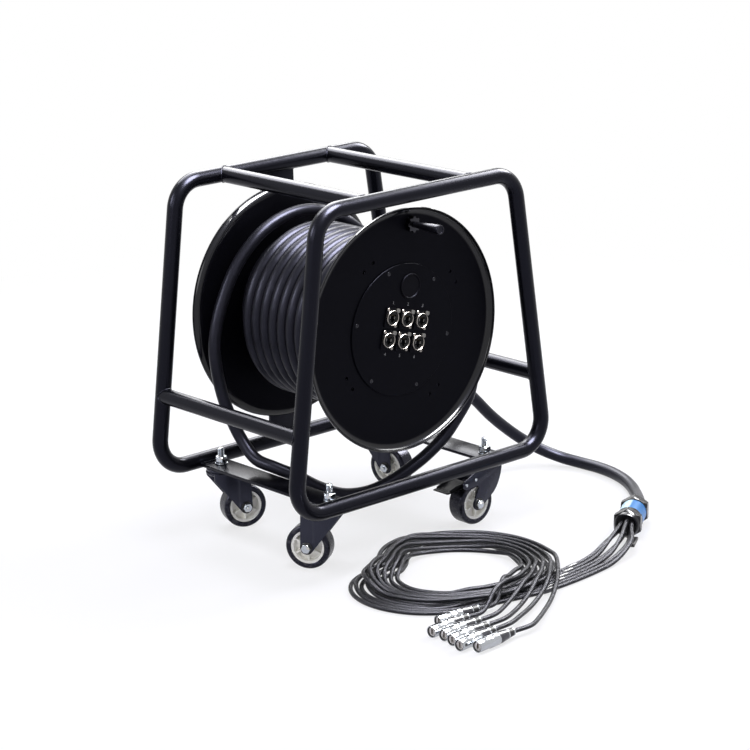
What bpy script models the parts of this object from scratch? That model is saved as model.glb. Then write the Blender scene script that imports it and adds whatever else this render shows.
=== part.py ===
"""Network cable reel: a dished steel drum on one upright of a tube frame with four swivel casters.

Metres, +Z up, floor at z = 0. X runs across the hoops, Y along the drum's axle, front at -Y.
The origin lies on the floor under the middle of the reel without its loose cable.
"""

import math

import bmesh
import bpy
import numpy as np
from mathutils import Matrix, Vector

MM = 0.001
GAP = 0.3 * MM

# Tube frame
TUBE_DIAMETER = 25 * MM
HOOP_TOP_WIDTH = 396 * MM
HOOP_BOTTOM_WIDTH = 521 * MM
HOOP_HEIGHT = 451 * MM
HOOP_BEND_RADIUS = 46 * MM
HOOP_SPACING = 333 * MM
TOP_RAIL_SPACING = 215 * MM
SIDE_RAIL_RISE = 121 * MM

# Flat steel of the frame
BAR_WIDTH = 45 * MM
BAR_THICKNESS = 5 * MM
BAR_DROP = 1.5 * MM
UPRIGHT_WIDTH = 66 * MM
UPRIGHT_THICKNESS = 5 * MM

# Casters
CASTER_HEIGHT = 102 * MM
CASTER_INSET_X = 98 * MM
CASTER_INSET_Y = 35.5 * MM
CASTER_TRAIL = 33 * MM
WHEEL_DIAMETER = 70 * MM
WHEEL_WIDTH = 29 * MM
TYRE_THICKNESS = 8.5 * MM
AXLE_DIAMETER = 10 * MM
FORK_SHEET = 2.5 * MM
STUD_DIAMETER = 10 * MM
STUD_LENGTH = 27 * MM
STUD_NUT_WIDTH = 17 * MM
STUD_NUT_HEIGHT = 8.4 * MM
KINGPIN_DIAMETER = 12 * MM
RACE_DIAMETER = 48 * MM
RACE_THICKNESS = 4 * MM
FORK_BOSS_RADIUS = 10.5 * MM
FORK_FRONT = 19 * MM
FORK_CROWN = 1.2 * MM
FORK_LIP = 12 * MM
FORK_TAIL_RISE = 52 * MM
BRAKE_FORK_LIP = 8 * MM
BRAKE_FORK_SLOPE = [(5 * MM, 28 * MM), (18 * MM, 50 * MM)]
BRAKE_FORK_BACK = [(2 * MM, 20 * MM), (-2 * MM, 30 * MM)]
BRAKE_REACH = 26 * MM
BRAKE_CORNER = (5 * MM, 3.5 * MM)
AXLE_HEAD_HEIGHT = 5 * MM
SIDE_PLAY = 2 * MM
BRAKE_PIN_DIAMETER = 5 * MM
BRAKE_PIN_TRAIL = 25 * MM
BRAKE_PIN_RISE = 36 * MM
PEDAL_SHEET = 3 * MM
PEDAL_EYE_RADIUS = 5.5 * MM
PEDAL_HEEL = (14 * MM, -5 * MM)
PEDAL_TOE = (38 * MM, -7 * MM)
BRAKED_CASTERS = ("front_right",)
SWIVEL_ANGLES = {
    "front_left": math.radians(122),
    "front_right": math.radians(180),
    "rear_left": math.radians(-19),
    "rear_right": math.radians(-78),
}

# Drum
DRUM_RISE = 231.5 * MM
DRUM_ANGLE = math.radians(14.5)
DISC_RADIUS = 190 * MM
DISC_SHEET = 2 * MM
DISC_LIP_DEPTH = 8.6 * MM
DISC_LIP_WIDTH = 12.5 * MM
FRONT_FACE = 121.8 * MM
REAR_FACE = 143.4 * MM
CORE_RADIUS = 100 * MM
CORE_WALL = 2 * MM
SPINDLE_DIAMETER = 20 * MM
SPINDLE_FLANGE_DIAMETER = 64 * MM
SPINDLE_FLANGE_THICKNESS = 6 * MM
SPINDLE_NUT_WIDTH = 24 * MM
SPINDLE_NUT_HEIGHT = 13 * MM
SPINDLE_THREAD_DIAMETER = 16 * MM
HUB_DIAMETER = 44 * MM
HUB_FLANGE_DIAMETER = 110 * MM
HUB_FLANGE_THICKNESS = 4 * MM
HUB_LENGTH = 86 * MM
TIE_HOLE_DIAMETER = 6 * MM
TIE_HOLE_RADIUS = 126 * MM
TIE_HOLE_HALF_ANGLE = math.radians(2.5)

# Patch plate and its sockets
PLATE_RADIUS = 103 * MM
PLATE_THICKNESS = 2 * MM
PLATE_OPENING_RADIUS = 88 * MM
SOCKET_PITCH_X = 30.8 * MM
SOCKET_PITCH_Y = 34.6 * MM
SOCKET_GROUP_X = 2 * MM
SOCKET_FLANGE_WIDTH = 26 * MM
SOCKET_FLANGE_HEIGHT = 31 * MM
SOCKET_FLANGE_THICKNESS = 2.5 * MM
SOCKET_RING_DIAMETER = 23.6 * MM
SOCKET_RING_HEIGHT = 3 * MM
SOCKET_BODY_DEPTH = 24 * MM
JACK_WIDTH = 12 * MM
JACK_HEIGHT = 9 * MM
JACK_DEPTH = 14 * MM
LATCH_WIDTH = 5 * MM
LATCH_LENGTH = 3.4 * MM
LATCH_PROUD = 2.6 * MM
LATCH_TRAVEL = 1.2 * MM
CAP_RADIUS = 20 * MM
CAP_CENTRE = 68 * MM
CAP_HOLE_RADIUS = 17 * MM

# Crank
CRANK_INSET = 27 * MM
CRANK_ANGLE = math.radians(6.5)
COLLAR_RADIUS = 12.5 * MM
COLLAR_HEIGHT = 9 * MM
COLLAR_LOBES = 8
LOBE_DEPTH = 2.2 * MM
GRIP_BASE_DIAMETER = 9.5 * MM
GRIP_END_DIAMETER = 15 * MM
GRIP_LENGTH = 57 * MM
CRANK_STUD_DIAMETER = 5 * MM

# Cable
TRUNK_DIAMETER = 19.5 * MM
WINDING_PITCH = 20.5 * MM
WINDING_TURNS = 9
POINTS_PER_TURN = 24
TRUNK_LEAVE_ANGLE = math.radians(22)
TRUNK_START_ANGLE = math.radians(-14)
TAIL_DIAMETER = 6.8 * MM
TAIL_CLEARANCE = 0.7 * MM
GLAND_LENGTH = 92 * MM
GLAND_DIAMETER = 40 * MM
GLAND_NUT_WIDTH = 42 * MM
GLAND_NUT_HEIGHT = 24 * MM
PLUG_DIAMETER = 19 * MM
PLUG_LENGTH = 76 * MM

# What follows from the sizes above
TUBE_RADIUS = TUBE_DIAMETER / 2
BAR_TOP = CASTER_HEIGHT + BAR_THICKNESS
HOOP_BOTTOM = BAR_TOP + BAR_DROP
HOOP_TOP = HOOP_BOTTOM + HOOP_HEIGHT
DRUM_HEIGHT = HOOP_BOTTOM + DRUM_RISE
CASTER_X = HOOP_BOTTOM_WIDTH / 2 - CASTER_INSET_X
CASTER_Y = HOOP_SPACING / 2 - CASTER_INSET_Y
FORK_TOP = CASTER_HEIGHT - RACE_THICKNESS - 2 * GAP
FORK_INSIDE = WHEEL_WIDTH / 2 + SIDE_PLAY
CRANK_RADIUS = DISC_RADIUS - CRANK_INSET
COLLAR_BASE = FRONT_FACE + GAP
GRIP_BASE = COLLAR_BASE + COLLAR_HEIGHT + GAP
FRONT_REACH = max(GRIP_BASE + GRIP_LENGTH, HOOP_SPACING / 2 + TUBE_RADIUS)
REAR_REACH = HOOP_SPACING / 2 + TUBE_RADIUS
MID_Y = (FRONT_REACH - REAR_REACH) / 2
TRUNK_RADIUS = TRUNK_DIAMETER / 2
WINDING_RADIUS = CORE_RADIUS + 1.5 * TRUNK_DIAMETER + 1 * MM
POLYGON_SHRINK = math.cos(math.pi / POINTS_PER_TURN)
INNER_LAYER_RADIUS = WINDING_RADIUS * POLYGON_SHRINK - TRUNK_RADIUS - GAP
TRUNK_SLOT = FRONT_FACE - DISC_SHEET - GAP - TRUNK_RADIUS
WINDING_START = TRUNK_SLOT - WINDING_PITCH
CAP_SIDES = 16
DISC_STEPS = 32

# The loose cable's route, chosen by eye, in millimetres from the middle of the hoops
TRUNK_ROUTE = [
    (139, -109, 343), (155, -109, 296), (162, -108, 250), (155, -107, 206), (121, -104, 161),
    (86, -100, 130), (43, -92, 105), (5, -80, 85), (-45, -62, 73), (-80, -43, 80),
    (-110, -18, 98), (-136, 12, 119), (-147, 44, 120), (-150, 76, 138), (-154, 100, 168),
    (-164, 114, 212), (-171, 121, 262), (-172, 123, 306), (-158, 124, 356), (-126, 123, 417),
    (-78, 119, 465), (-22, 114, 489), (34, 109, 488), (84, 103, 466), (127, 96, 427),
    (153, 86, 376), (165, 74, 325), (178, 61, 280), (200, 48, 240), (228, 38, 206),
    (257, 33, 174), (290, 28, 140), (326, 24, 102), (366, 17, 66), (398, 3, 40),
    (424, -18, 22), (443, -48, 12), (450, -84, 10.2), (449, -122, 10.2), (440, -162, 10.2),
    (422, -202, 10.2), (394, -240, 12), (362, -276, 18), (338, -300, 23),
]
GLAND_START = (314 * MM, -317 * MM)
GLAND_DIRECTION = math.radians(213)
GLAND_AXIS_HEIGHT = 24.6 * MM

GLAND_TRUNK_SEAT = 14 * MM
GLAND_TAIL_SEAT = 9 * MM
TAIL_RING_RADIUS = 8 * MM
TAIL_SEATS = [(-0.87, -0.5), (-0.87, 0.5), (0, -1), (0, 1), (0.87, -0.5), (0.87, 0.5)]

# Where each plug's nose lies on the floor, in millimetres, and its heading in degrees
PLUG_PLACES = [(-219, -427, 177), (-253, -450, 184), (-250, -471, 184), (-254, -492, 184),
               (-260, -514, 186), (-246, -535, 184)]

# The tails' loose coil on the floor, in millimetres and degrees: its middle, the way its right side
# points, and how its mean radius and half width change with the degrees travelled round it
COIL_CENTRE = (-66 * MM, -287 * MM)
COIL_HEADING = math.radians(-41.3)
COIL_START = -62
COIL_MEAN = [(0, 118), (60, 144), (88, 140), (112, 122), (136, 91), (158, 104), (184, 138), (228, 166),
             (270, 142), (300, 134), (350, 117), (410, 107), (460, 107), (496, 91), (525, 108), (560, 130),
             (620, 143), (660, 136)]
COIL_HALF_WIDTH = [(0, 21), (60, 23), (136, 20.5), (184, 23), (300, 23), (350, 20), (410, 28), (460, 26),
                   (496, 20.5), (560, 28), (660, 27)]
COIL_LAYERS = (270, 435, 660)

# The tails' way in from the gland, and where each turns out of the coil towards its plug
TAIL_LEAD = [(266, 92), (240, 52), (208, 13), (166, -30), (120, -68)]
TAIL_TURN = (119, -80)
TAIL_TURN_SPREAD = (34, -6)
TAIL_POINT_SPACING = 34 * MM
TAIL_SAG = 1.5 * MM


def finish(name, colour, roughness, metallic=0.0):
    """A Principled material of one colour."""
    material = bpy.data.materials.new(name)
    material.use_nodes = True
    shader = material.node_tree.nodes["Principled BSDF"]
    shader.inputs["Base Color"].default_value = (*colour, 1)
    shader.inputs["Roughness"].default_value = roughness
    shader.inputs["Metallic"].default_value = metallic
    material.diffuse_color = (*colour, 1)
    return material


def frame_empty(name, parent=None, location=(0, 0, 0), rotation=(0, 0, 0)):
    """An empty that carries the pieces of one body."""
    empty = bpy.data.objects.new(name, None)
    bpy.context.collection.objects.link(empty)
    empty.parent = parent
    empty.location = location
    empty.rotation_euler = rotation
    return empty


def add_object(name, data, material, parent=None, location=(0, 0, 0), rotation=(0, 0, 0)):
    """Put a mesh or curve in the scene under its parent."""
    item = bpy.data.objects.new(name, data)
    bpy.context.collection.objects.link(item)
    if material is not None and not data.materials:
        data.materials.append(material)
    item.parent = parent
    item.location = location
    item.rotation_euler = rotation
    return item


def as_mesh(name, bm, sharp_angle=35):
    """Close a bmesh with its faces pointing out, and shade it smooth with sharp corners."""
    bmesh.ops.remove_doubles(bm, verts=bm.verts, dist=1e-7)
    bmesh.ops.recalc_face_normals(bm, faces=bm.faces)
    mesh = bpy.data.meshes.new(name)
    bm.to_mesh(mesh)
    bm.free()
    mesh.shade_smooth()
    mesh.set_sharp_from_angle(angle=math.radians(sharp_angle))
    return mesh


def lathe(name, profile, steps):
    """Turn a profile of (radius, height) round Z. A ring's profile is closed, a rod's ends on the axis."""
    bm = bmesh.new()
    points = [bm.verts.new((radius, 0, height)) for radius, height in profile]
    on_axis = profile[0][0] == 0 and profile[-1][0] == 0
    pairs = list(zip(points, points[1:])) + ([] if on_axis else [(points[-1], points[0])])
    edges = [bm.edges.new(pair) for pair in pairs]
    bmesh.ops.spin(bm, geom=points + edges, cent=(0, 0, 0), axis=(0, 0, 1),
                   angle=2 * math.pi, steps=steps, use_merge=True)
    return as_mesh(name, bm)


def prism(name, outline, low, high):
    """Extrude an outline of (x, y) from z = low to z = high."""
    bm = bmesh.new()
    face = bm.faces.new([bm.verts.new((x, y, low)) for x, y in outline])
    grown = bmesh.ops.extrude_face_region(bm, geom=[face])["geom"]
    tops = [item for item in grown if isinstance(item, bmesh.types.BMVert)]
    bmesh.ops.translate(bm, verts=tops, vec=(0, 0, high - low))
    return as_mesh(name, bm)


def circle(radius, sides, centre=(0, 0), start=0.0):
    """Points round a circle."""
    return [(centre[0] + radius * math.cos(start + 2 * math.pi * step / sides),
             centre[1] + radius * math.sin(start + 2 * math.pi * step / sides))
            for step in range(sides)]


def box(name, size, centre=(0, 0, 0)):
    """A plain box."""
    half_x, half_y, half_z = size[0] / 2, size[1] / 2, size[2] / 2
    x, y, z = centre
    outline = [(x - half_x, y - half_y), (x + half_x, y - half_y),
               (x + half_x, y + half_y), (x - half_x, y + half_y)]
    return prism(name, outline, z - half_z, z + half_z)


def rod(name, radius, start, end, sides):
    """A round bar from start to end, as a mesh in its parent's frame."""
    start, end = Vector(start), Vector(end)
    along = end - start
    mesh = prism(name, circle(radius, sides, start=math.pi / sides), 0, along.length)
    mesh.transform(Matrix.Translation(start) @ along.to_track_quat("Z", "X").to_matrix().to_4x4())
    return mesh


def rounded_corners(corners, radius, steps):
    """Round each corner of a flat outline with an arc of the given radius."""
    points = []
    for index, corner in enumerate(corners):
        here = Vector(corner)
        back = (Vector(corners[index - 1]) - here).normalized()
        ahead = (Vector(corners[(index + 1) % len(corners)]) - here).normalized()
        half = back.angle(ahead) / 2
        centre = here + (back + ahead).normalized() * radius / math.sin(half)
        first = here + back * radius / math.tan(half) - centre
        last = here + ahead * radius / math.tan(half) - centre
        sweep = first.angle(last)
        turn = 1 if first.cross(last) > 0 else -1
        for step in range(steps + 1):
            angle = turn * sweep * step / steps
            cosine, sine = math.cos(angle), math.sin(angle)
            points.append((centre.x + first.x * cosine - first.y * sine,
                           centre.y + first.x * sine + first.y * cosine))
    return points


def tube(name, points, radius, material, parent=None, resolution=1, cyclic=False):
    """A tube along a line of points, closed at its ends."""
    curve = bpy.data.curves.new(name, "CURVE")
    curve.dimensions = "3D"
    curve.bevel_depth = radius
    curve.bevel_resolution = resolution
    curve.use_fill_caps = not cyclic
    spline = curve.splines.new("POLY")
    spline.points.add(len(points) - 1)
    for point, place in zip(spline.points, points):
        point.co = (*place, 1)
    spline.use_cyclic_u = cyclic
    return add_object(name, curve, material, parent)


def combine(item, tool, operation):
    """Cut or join an object with a tool, which the model leaves out."""
    tool.hide_render = True
    tool.display_type = "WIRE"
    modifier = item.modifiers.new(operation.title(), "BOOLEAN")
    modifier.operation = operation
    modifier.object = tool


def cut(item, mesh, parent=None):
    """Take a mesh's shape away from an object."""
    combine(item, add_object(mesh.name + "_cutter", mesh, None, parent), "DIFFERENCE")


def join(item, mesh, parent=None):
    """Weld a mesh's shape to an object."""
    combine(item, add_object(mesh.name + "_tool", mesh, None, parent), "UNION")


def settle(item):
    """Give a shape its modifiers for good, as a mesh that its copies share, and clear it away."""
    depsgraph = bpy.context.evaluated_depsgraph_get()
    mesh = bpy.data.meshes.new_from_object(item.evaluated_get(depsgraph))
    mesh.name = item.name + "_shape"
    for modifier in item.modifiers:
        bpy.data.objects.remove(modifier.object)
    bpy.data.objects.remove(item)
    return mesh


def smooth_route(points, spacing):
    """Points at an even spacing on a smooth curve through the given ones."""
    knots = [np.array(point, float) for point in points]
    knots = [2 * knots[0] - knots[1]] + knots + [2 * knots[-1] - knots[-2]]
    fine = []
    for before, here, after, last in zip(knots, knots[1:], knots[2:], knots[3:]):
        for step in range(16):
            t = step / 16
            fine.append(0.5 * ((2 * here) + (after - before) * t
                               + (2 * before - 5 * here + 4 * after - last) * t * t
                               + (3 * here - before - 3 * after + last) * t ** 3))
    fine.append(knots[-2])
    line = np.array(fine)
    run = np.concatenate([[0], np.cumsum(np.linalg.norm(np.diff(line, axis=0), axis=1))])
    count = max(2, round(run[-1] / spacing) + 1)
    places = np.linspace(0, run[-1], count)
    return [tuple(np.interp(place, run, line[:, axis]) for axis in range(3)) for place in places]


def densely(points, step):
    """Points along a line of straight runs, no further apart than step, with their place along it."""
    line, places = [], []
    for index, (start, end) in enumerate(zip(points, points[1:])):
        count = max(1, math.ceil(np.linalg.norm(np.subtract(end, start)) / step))
        for part in range(count):
            line.append(np.add(start, np.subtract(end, start) * part / count))
            places.append(index + part / count)
    line.append(np.array(points[-1], float))
    places.append(len(points) - 1)
    return np.array(line), np.array(places)


def post_x(height):
    """How far a hoop's leaning post is from the middle at a height, on its centre line."""
    share = (height - HOOP_BOTTOM) / HOOP_HEIGHT
    return (HOOP_BOTTOM_WIDTH + (HOOP_TOP_WIDTH - HOOP_BOTTOM_WIDTH) * share) / 2


def build_frame(root, paint):
    """The two hoops and what is welded between them."""
    corners = [(-HOOP_TOP_WIDTH / 2, HOOP_TOP), (HOOP_TOP_WIDTH / 2, HOOP_TOP),
               (HOOP_BOTTOM_WIDTH / 2, HOOP_BOTTOM), (-HOOP_BOTTOM_WIDTH / 2, HOOP_BOTTOM)]
    outline = rounded_corners(corners, HOOP_BEND_RADIUS, 4)
    for name, side in (("front_hoop", -1), ("rear_hoop", 1)):
        points = [(x, side * HOOP_SPACING / 2, z) for x, z in outline]
        tube(name, points, TUBE_RADIUS, paint, root, resolution=4, cyclic=True)

    reach = HOOP_BOTTOM_WIDTH
    ends = (-HOOP_SPACING / 2, HOOP_SPACING / 2)

    def cope_level(item, height):
        for end in ends:
            cut(item, rod(item.name + "_cope", TUBE_RADIUS + GAP, (-reach, end, height),
                          (reach, end, height), 24), root)

    for side, sign in (("left", -1), ("right", 1)):
        x = sign * TOP_RAIL_SPACING / 2
        rail = add_object(f"top_rail_{side}", rod("top_rail", TUBE_RADIUS, (x, ends[0], HOOP_TOP),
                                                  (x, ends[1], HOOP_TOP), 12), paint, root)
        cope_level(rail, HOOP_TOP)

        height = HOOP_BOTTOM + SIDE_RAIL_RISE
        x = sign * post_x(height)
        rail = add_object(f"side_rail_{side}", rod("side_rail", TUBE_RADIUS, (x, ends[0], height),
                                                   (x, ends[1], height), 12), paint, root)
        for end in ends:
            cut(rail, rod("side_rail_cope", TUBE_RADIUS + GAP,
                          (sign * post_x(HOOP_BOTTOM), end, HOOP_BOTTOM),
                          (sign * post_x(HOOP_TOP), end, HOOP_TOP), 24), root)

        x = sign * CASTER_X
        bar = add_object(f"caster_bar_{side}",
                         box("caster_bar", (BAR_WIDTH, HOOP_SPACING, BAR_THICKNESS),
                             (x, 0, BAR_TOP - BAR_THICKNESS / 2)), paint, root)
        cope_level(bar, HOOP_BOTTOM)
        for y in (-CASTER_Y, CASTER_Y):
            cut(bar, rod("stud_hole", STUD_DIAMETER / 2 + GAP, (x, y, CASTER_HEIGHT - BAR_THICKNESS),
                         (x, y, BAR_TOP + BAR_THICKNESS), 10), root)

    upright = add_object("bearing_upright",
                         box("bearing_upright", (UPRIGHT_WIDTH, UPRIGHT_THICKNESS, HOOP_HEIGHT),
                             (0, HOOP_SPACING / 2, (HOOP_BOTTOM + HOOP_TOP) / 2)), paint, root)
    for height in (HOOP_BOTTOM, HOOP_TOP):
        end = HOOP_SPACING / 2
        cut(upright, rod("upright_cope", TUBE_RADIUS + GAP, (-reach, end, height),
                         (reach, end, height), 24), root)


def disc_profile(hole, face, outward):
    """A dished disc's section, its lip turned outward. The face is the flat's outer side."""
    lip_start = DISC_RADIUS - DISC_LIP_WIDTH
    middle = DISC_SHEET / 2
    bend = [(lip_start, 0), (lip_start + 0.45 * DISC_LIP_WIDTH, 0.10 * DISC_LIP_DEPTH),
            (lip_start + 0.80 * DISC_LIP_WIDTH, 0.42 * DISC_LIP_DEPTH),
            (DISC_RADIUS - middle, DISC_LIP_DEPTH)]
    outer, inner = [(hole, 0)], [(hole, -DISC_SHEET)]
    for index, (radius, rise) in enumerate(bend):
        before = bend[max(index - 1, 0)]
        after = bend[min(index + 1, len(bend) - 1)]
        along = Vector((after[0] - before[0], after[1] - before[1])).normalized()
        normal = Vector((-along.y, along.x)) * middle
        outer.append((radius + normal.x, rise - middle + normal.y))
        inner.append((radius - normal.x, rise - middle - normal.y))
    section = outer + inner[::-1]
    return [(radius, outward * (face + rise)) for radius, rise in section]


def build_drum(drum, paint, steel):
    """The discs, core and hub, in the drum's own frame: x right, y up, z towards the front."""
    front = add_object("front_disc",
                       lathe("front_disc", disc_profile(PLATE_OPENING_RADIUS, FRONT_FACE, 1), DISC_STEPS),
                       paint, drum)
    for corner in range(4):
        for side in (-1, 1):
            angle = math.pi / 4 + corner * math.pi / 2 + side * 2 * TIE_HOLE_HALF_ANGLE
            place = (TIE_HOLE_RADIUS * math.cos(angle), TIE_HOLE_RADIUS * math.sin(angle))
            cut(front, prism("tie_hole", circle(TIE_HOLE_DIAMETER / 2, 6, place),
                             FRONT_FACE - 4 * DISC_SHEET, FRONT_FACE + 2 * DISC_SHEET), drum)

    hub_radius = HUB_DIAMETER / 2
    rear_profile = disc_profile(hub_radius + GAP, REAR_FACE + DISC_SHEET, -1)
    add_object("rear_disc", lathe("rear_disc", rear_profile, DISC_STEPS), paint, drum)

    low, high = -REAR_FACE + GAP, FRONT_FACE - DISC_SHEET - GAP
    core_profile = [(CORE_RADIUS - CORE_WALL, low), (CORE_RADIUS, low), (CORE_RADIUS, high),
                    (CORE_RADIUS - CORE_WALL, high)]
    add_object("drum_core", lathe("drum_core", core_profile, DISC_STEPS), paint, drum)

    bore = SPINDLE_DIAMETER / 2 + GAP
    flange_face = -REAR_FACE - DISC_SHEET - GAP
    rear_end = -HOOP_SPACING / 2 + UPRIGHT_THICKNESS / 2 + SPINDLE_FLANGE_THICKNESS + 2 * GAP
    front_end = rear_end + HUB_LENGTH
    profile = [(bore, rear_end), (hub_radius, rear_end),
               (hub_radius, flange_face - HUB_FLANGE_THICKNESS),
               (HUB_FLANGE_DIAMETER / 2, flange_face - HUB_FLANGE_THICKNESS),
               (HUB_FLANGE_DIAMETER / 2, flange_face), (hub_radius, flange_face),
               (hub_radius, front_end), (bore, front_end)]
    add_object("bearing_hub", lathe("bearing_hub", profile, 16), steel, drum)
    return front_end


def build_spindle(root, steel, hub_front):
    """The stub axle: flange on the upright, journal, washer and nut."""
    back = -HOOP_SPACING / 2 + UPRIGHT_THICKNESS / 2 + GAP
    washer = hub_front + GAP
    thread = SPINDLE_THREAD_DIAMETER / 2
    tip = washer + 0.25 * SPINDLE_NUT_HEIGHT + 1.4 * SPINDLE_NUT_HEIGHT
    nut_low = washer + 0.25 * SPINDLE_NUT_HEIGHT
    profile = [(0, back), (SPINDLE_FLANGE_DIAMETER / 2, back),
               (SPINDLE_FLANGE_DIAMETER / 2, back + SPINDLE_FLANGE_THICKNESS),
               (SPINDLE_DIAMETER / 2, back + SPINDLE_FLANGE_THICKNESS),
               (SPINDLE_DIAMETER / 2, washer), (SPINDLE_DIAMETER * 0.8, washer),
               (SPINDLE_DIAMETER * 0.8, nut_low), (thread, nut_low), (thread, tip - 1.5 * MM),
               (thread - 1.5 * MM, tip), (0, tip)]
    holder = frame_empty("spindle_axis", root, (0, 0, DRUM_HEIGHT), (math.pi / 2, 0, 0))
    spindle = add_object("drum_spindle", lathe("drum_spindle", profile, 16), steel, holder)
    nut = prism("spindle_nut", circle(SPINDLE_NUT_WIDTH / math.sqrt(3), 6), nut_low - GAP,
                nut_low + SPINDLE_NUT_HEIGHT)
    join(spindle, nut, holder)


def socket_places():
    """Where the six sockets sit on the patch plate, row by row from the upper left."""
    return [(SOCKET_GROUP_X + (column - 1) * SOCKET_PITCH_X, (0.5 - row) * SOCKET_PITCH_Y)
            for row in range(2) for column in range(3)]


def latch_place():
    """The release latch's middle on its socket's flange, at the upper right."""
    inset = 1.6 * MM
    return (SOCKET_FLANGE_WIDTH / 2 - inset - LATCH_WIDTH / 2,
            SOCKET_FLANGE_HEIGHT / 2 - inset - LATCH_LENGTH / 2)


def build_panel(drum, paint, nickel, plastic):
    """The patch plate, its blank cap, and the sockets with their latches."""
    plate_low = FRONT_FACE + GAP
    plate_high = plate_low + PLATE_THICKNESS
    plate = add_object("patch_plate", prism("patch_plate", circle(PLATE_RADIUS, DISC_STEPS),
                                            plate_low, plate_high), paint, drum)
    body_radius = SOCKET_RING_DIAMETER / 2
    for x, y in socket_places():
        cut(plate, prism("socket_hole", circle(body_radius + GAP, 12, (x, y)),
                         plate_low - PLATE_THICKNESS, plate_high + PLATE_THICKNESS), drum)
    cut(plate, prism("cap_hole", circle(CAP_HOLE_RADIUS, CAP_SIDES, (0, CAP_CENTRE)),
                     plate_low - PLATE_THICKNESS, plate_high + PLATE_THICKNESS), drum)

    cap_base = plate_high + GAP
    neck = CAP_HOLE_RADIUS * math.cos(math.pi / CAP_SIDES) - GAP
    profile = [(0, plate_low - 4 * MM), (neck, plate_low - 4 * MM), (neck, cap_base), (CAP_RADIUS, cap_base),
               (CAP_RADIUS, cap_base + 1 * MM), (CAP_RADIUS - 1 * MM, cap_base + 2 * MM),
               (CAP_RADIUS - 3 * MM, cap_base + 2 * MM), (CAP_RADIUS - 3.5 * MM, cap_base + 1.4 * MM),
               (0, cap_base + 1.4 * MM)]
    add_object("blank_cap", lathe("blank_cap", profile, CAP_SIDES), plastic, drum,
               location=(0, CAP_CENTRE, 0))

    low = plate_high + GAP
    high = low + SOCKET_FLANGE_THICKNESS
    half_x, half_y = SOCKET_FLANGE_WIDTH / 2, SOCKET_FLANGE_HEIGHT / 2
    corners = [(-half_x, -half_y), (half_x, -half_y), (half_x, half_y), (-half_x, half_y)]
    shape = add_object("socket", prism("socket", rounded_corners(corners, 3 * MM, 1), low, high), nickel)
    ring_high = high + SOCKET_RING_HEIGHT
    join(shape, prism("socket_neck", circle(body_radius - 1 * MM, 12), low - SOCKET_BODY_DEPTH, ring_high))
    cut(shape, box("jack", (JACK_WIDTH, JACK_HEIGHT, JACK_DEPTH),
                   (0, 0, ring_high + 1 * MM - JACK_DEPTH / 2)))
    cut(shape, prism("throat", circle(body_radius - 3 * MM, 12), ring_high - 2 * MM, ring_high + 2 * MM))
    slot_x, slot_y = latch_place()
    slot_floor = low + 0.3 * SOCKET_FLANGE_THICKNESS
    cut(shape, box("latch_slot", (LATCH_WIDTH + 2 * GAP, LATCH_LENGTH + 2 * GAP, SOCKET_FLANGE_THICKNESS),
                   (slot_x, slot_y, slot_floor + SOCKET_FLANGE_THICKNESS / 2)))
    socket_mesh = settle(shape)

    latch_low = slot_floor + GAP + LATCH_TRAVEL
    latch_high = high + LATCH_PROUD
    latch_mesh = box("socket_latch", (LATCH_WIDTH, LATCH_LENGTH, latch_high - latch_low),
                     (0, 0, (latch_low + latch_high) / 2))
    latch_mesh.materials.append(nickel)
    for number, (x, y) in enumerate(socket_places(), start=1):
        add_object(f"socket_{number}", socket_mesh, nickel, drum, location=(x, y, 0))
        add_object(f"socket_latch_{number}", latch_mesh, nickel, drum, location=(x + slot_x, y + slot_y, 0))


def crank_place():
    """The crank's axis on the front disc."""
    return (-CRANK_RADIUS * math.sin(CRANK_ANGLE), CRANK_RADIUS * math.cos(CRANK_ANGLE))


def build_crank(drum, metal, rubber):
    """The castellated collar with its stud, and the tapered grip that turns on the stud."""
    x, y = crank_place()
    outline = []
    for lobe in range(COLLAR_LOBES):
        for share, radius in ((0.0, COLLAR_RADIUS), (0.45, COLLAR_RADIUS),
                              (0.55, COLLAR_RADIUS - LOBE_DEPTH), (0.90, COLLAR_RADIUS - LOBE_DEPTH)):
            angle = 2 * math.pi * (lobe + share) / COLLAR_LOBES
            outline.append((radius * math.cos(angle), radius * math.sin(angle)))
    collar = add_object("crank_collar", prism("crank_collar", outline, COLLAR_BASE,
                                              COLLAR_BASE + COLLAR_HEIGHT), metal, drum, location=(x, y, 0))
    stud_top = GRIP_BASE + 0.8 * GRIP_LENGTH
    stud = prism("crank_stud", circle(CRANK_STUD_DIAMETER / 2, 12, (x, y)), COLLAR_BASE + COLLAR_HEIGHT / 2,
                 stud_top)
    join(collar, stud, drum)

    bore = CRANK_STUD_DIAMETER / 2 + GAP
    base, end = GRIP_BASE_DIAMETER / 2, GRIP_END_DIAMETER / 2
    swell = [(base, 0.0), (base + 0.12 * (end - base), 0.15), (base + 0.6 * (end - base), 0.5), (end, 0.85),
             (end, 0.95), (end - 1.5 * MM, 1.0)]
    profile = [(bore, GRIP_BASE)] + [(radius, GRIP_BASE + share * GRIP_LENGTH) for radius, share in swell]
    profile += [(0, GRIP_BASE + GRIP_LENGTH), (0, stud_top + GAP), (bore, stud_top + GAP)]
    bm = bmesh.new()
    points = [bm.verts.new((radius, 0, height)) for radius, height in profile]
    sides = [(index, (index + 1) % len(points)) for index in range(len(points))]
    edges = [bm.edges.new((points[first], points[last])) for first, last in sides
             if profile[first][0] > 0 or profile[last][0] > 0]
    bmesh.ops.spin(bm, geom=points + edges, cent=(0, 0, 0), axis=(0, 0, 1),
                   angle=2 * math.pi, steps=12, use_merge=True)
    add_object("crank_grip", as_mesh("crank_grip", bm), rubber, drum, location=(x, y, 0))


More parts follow.
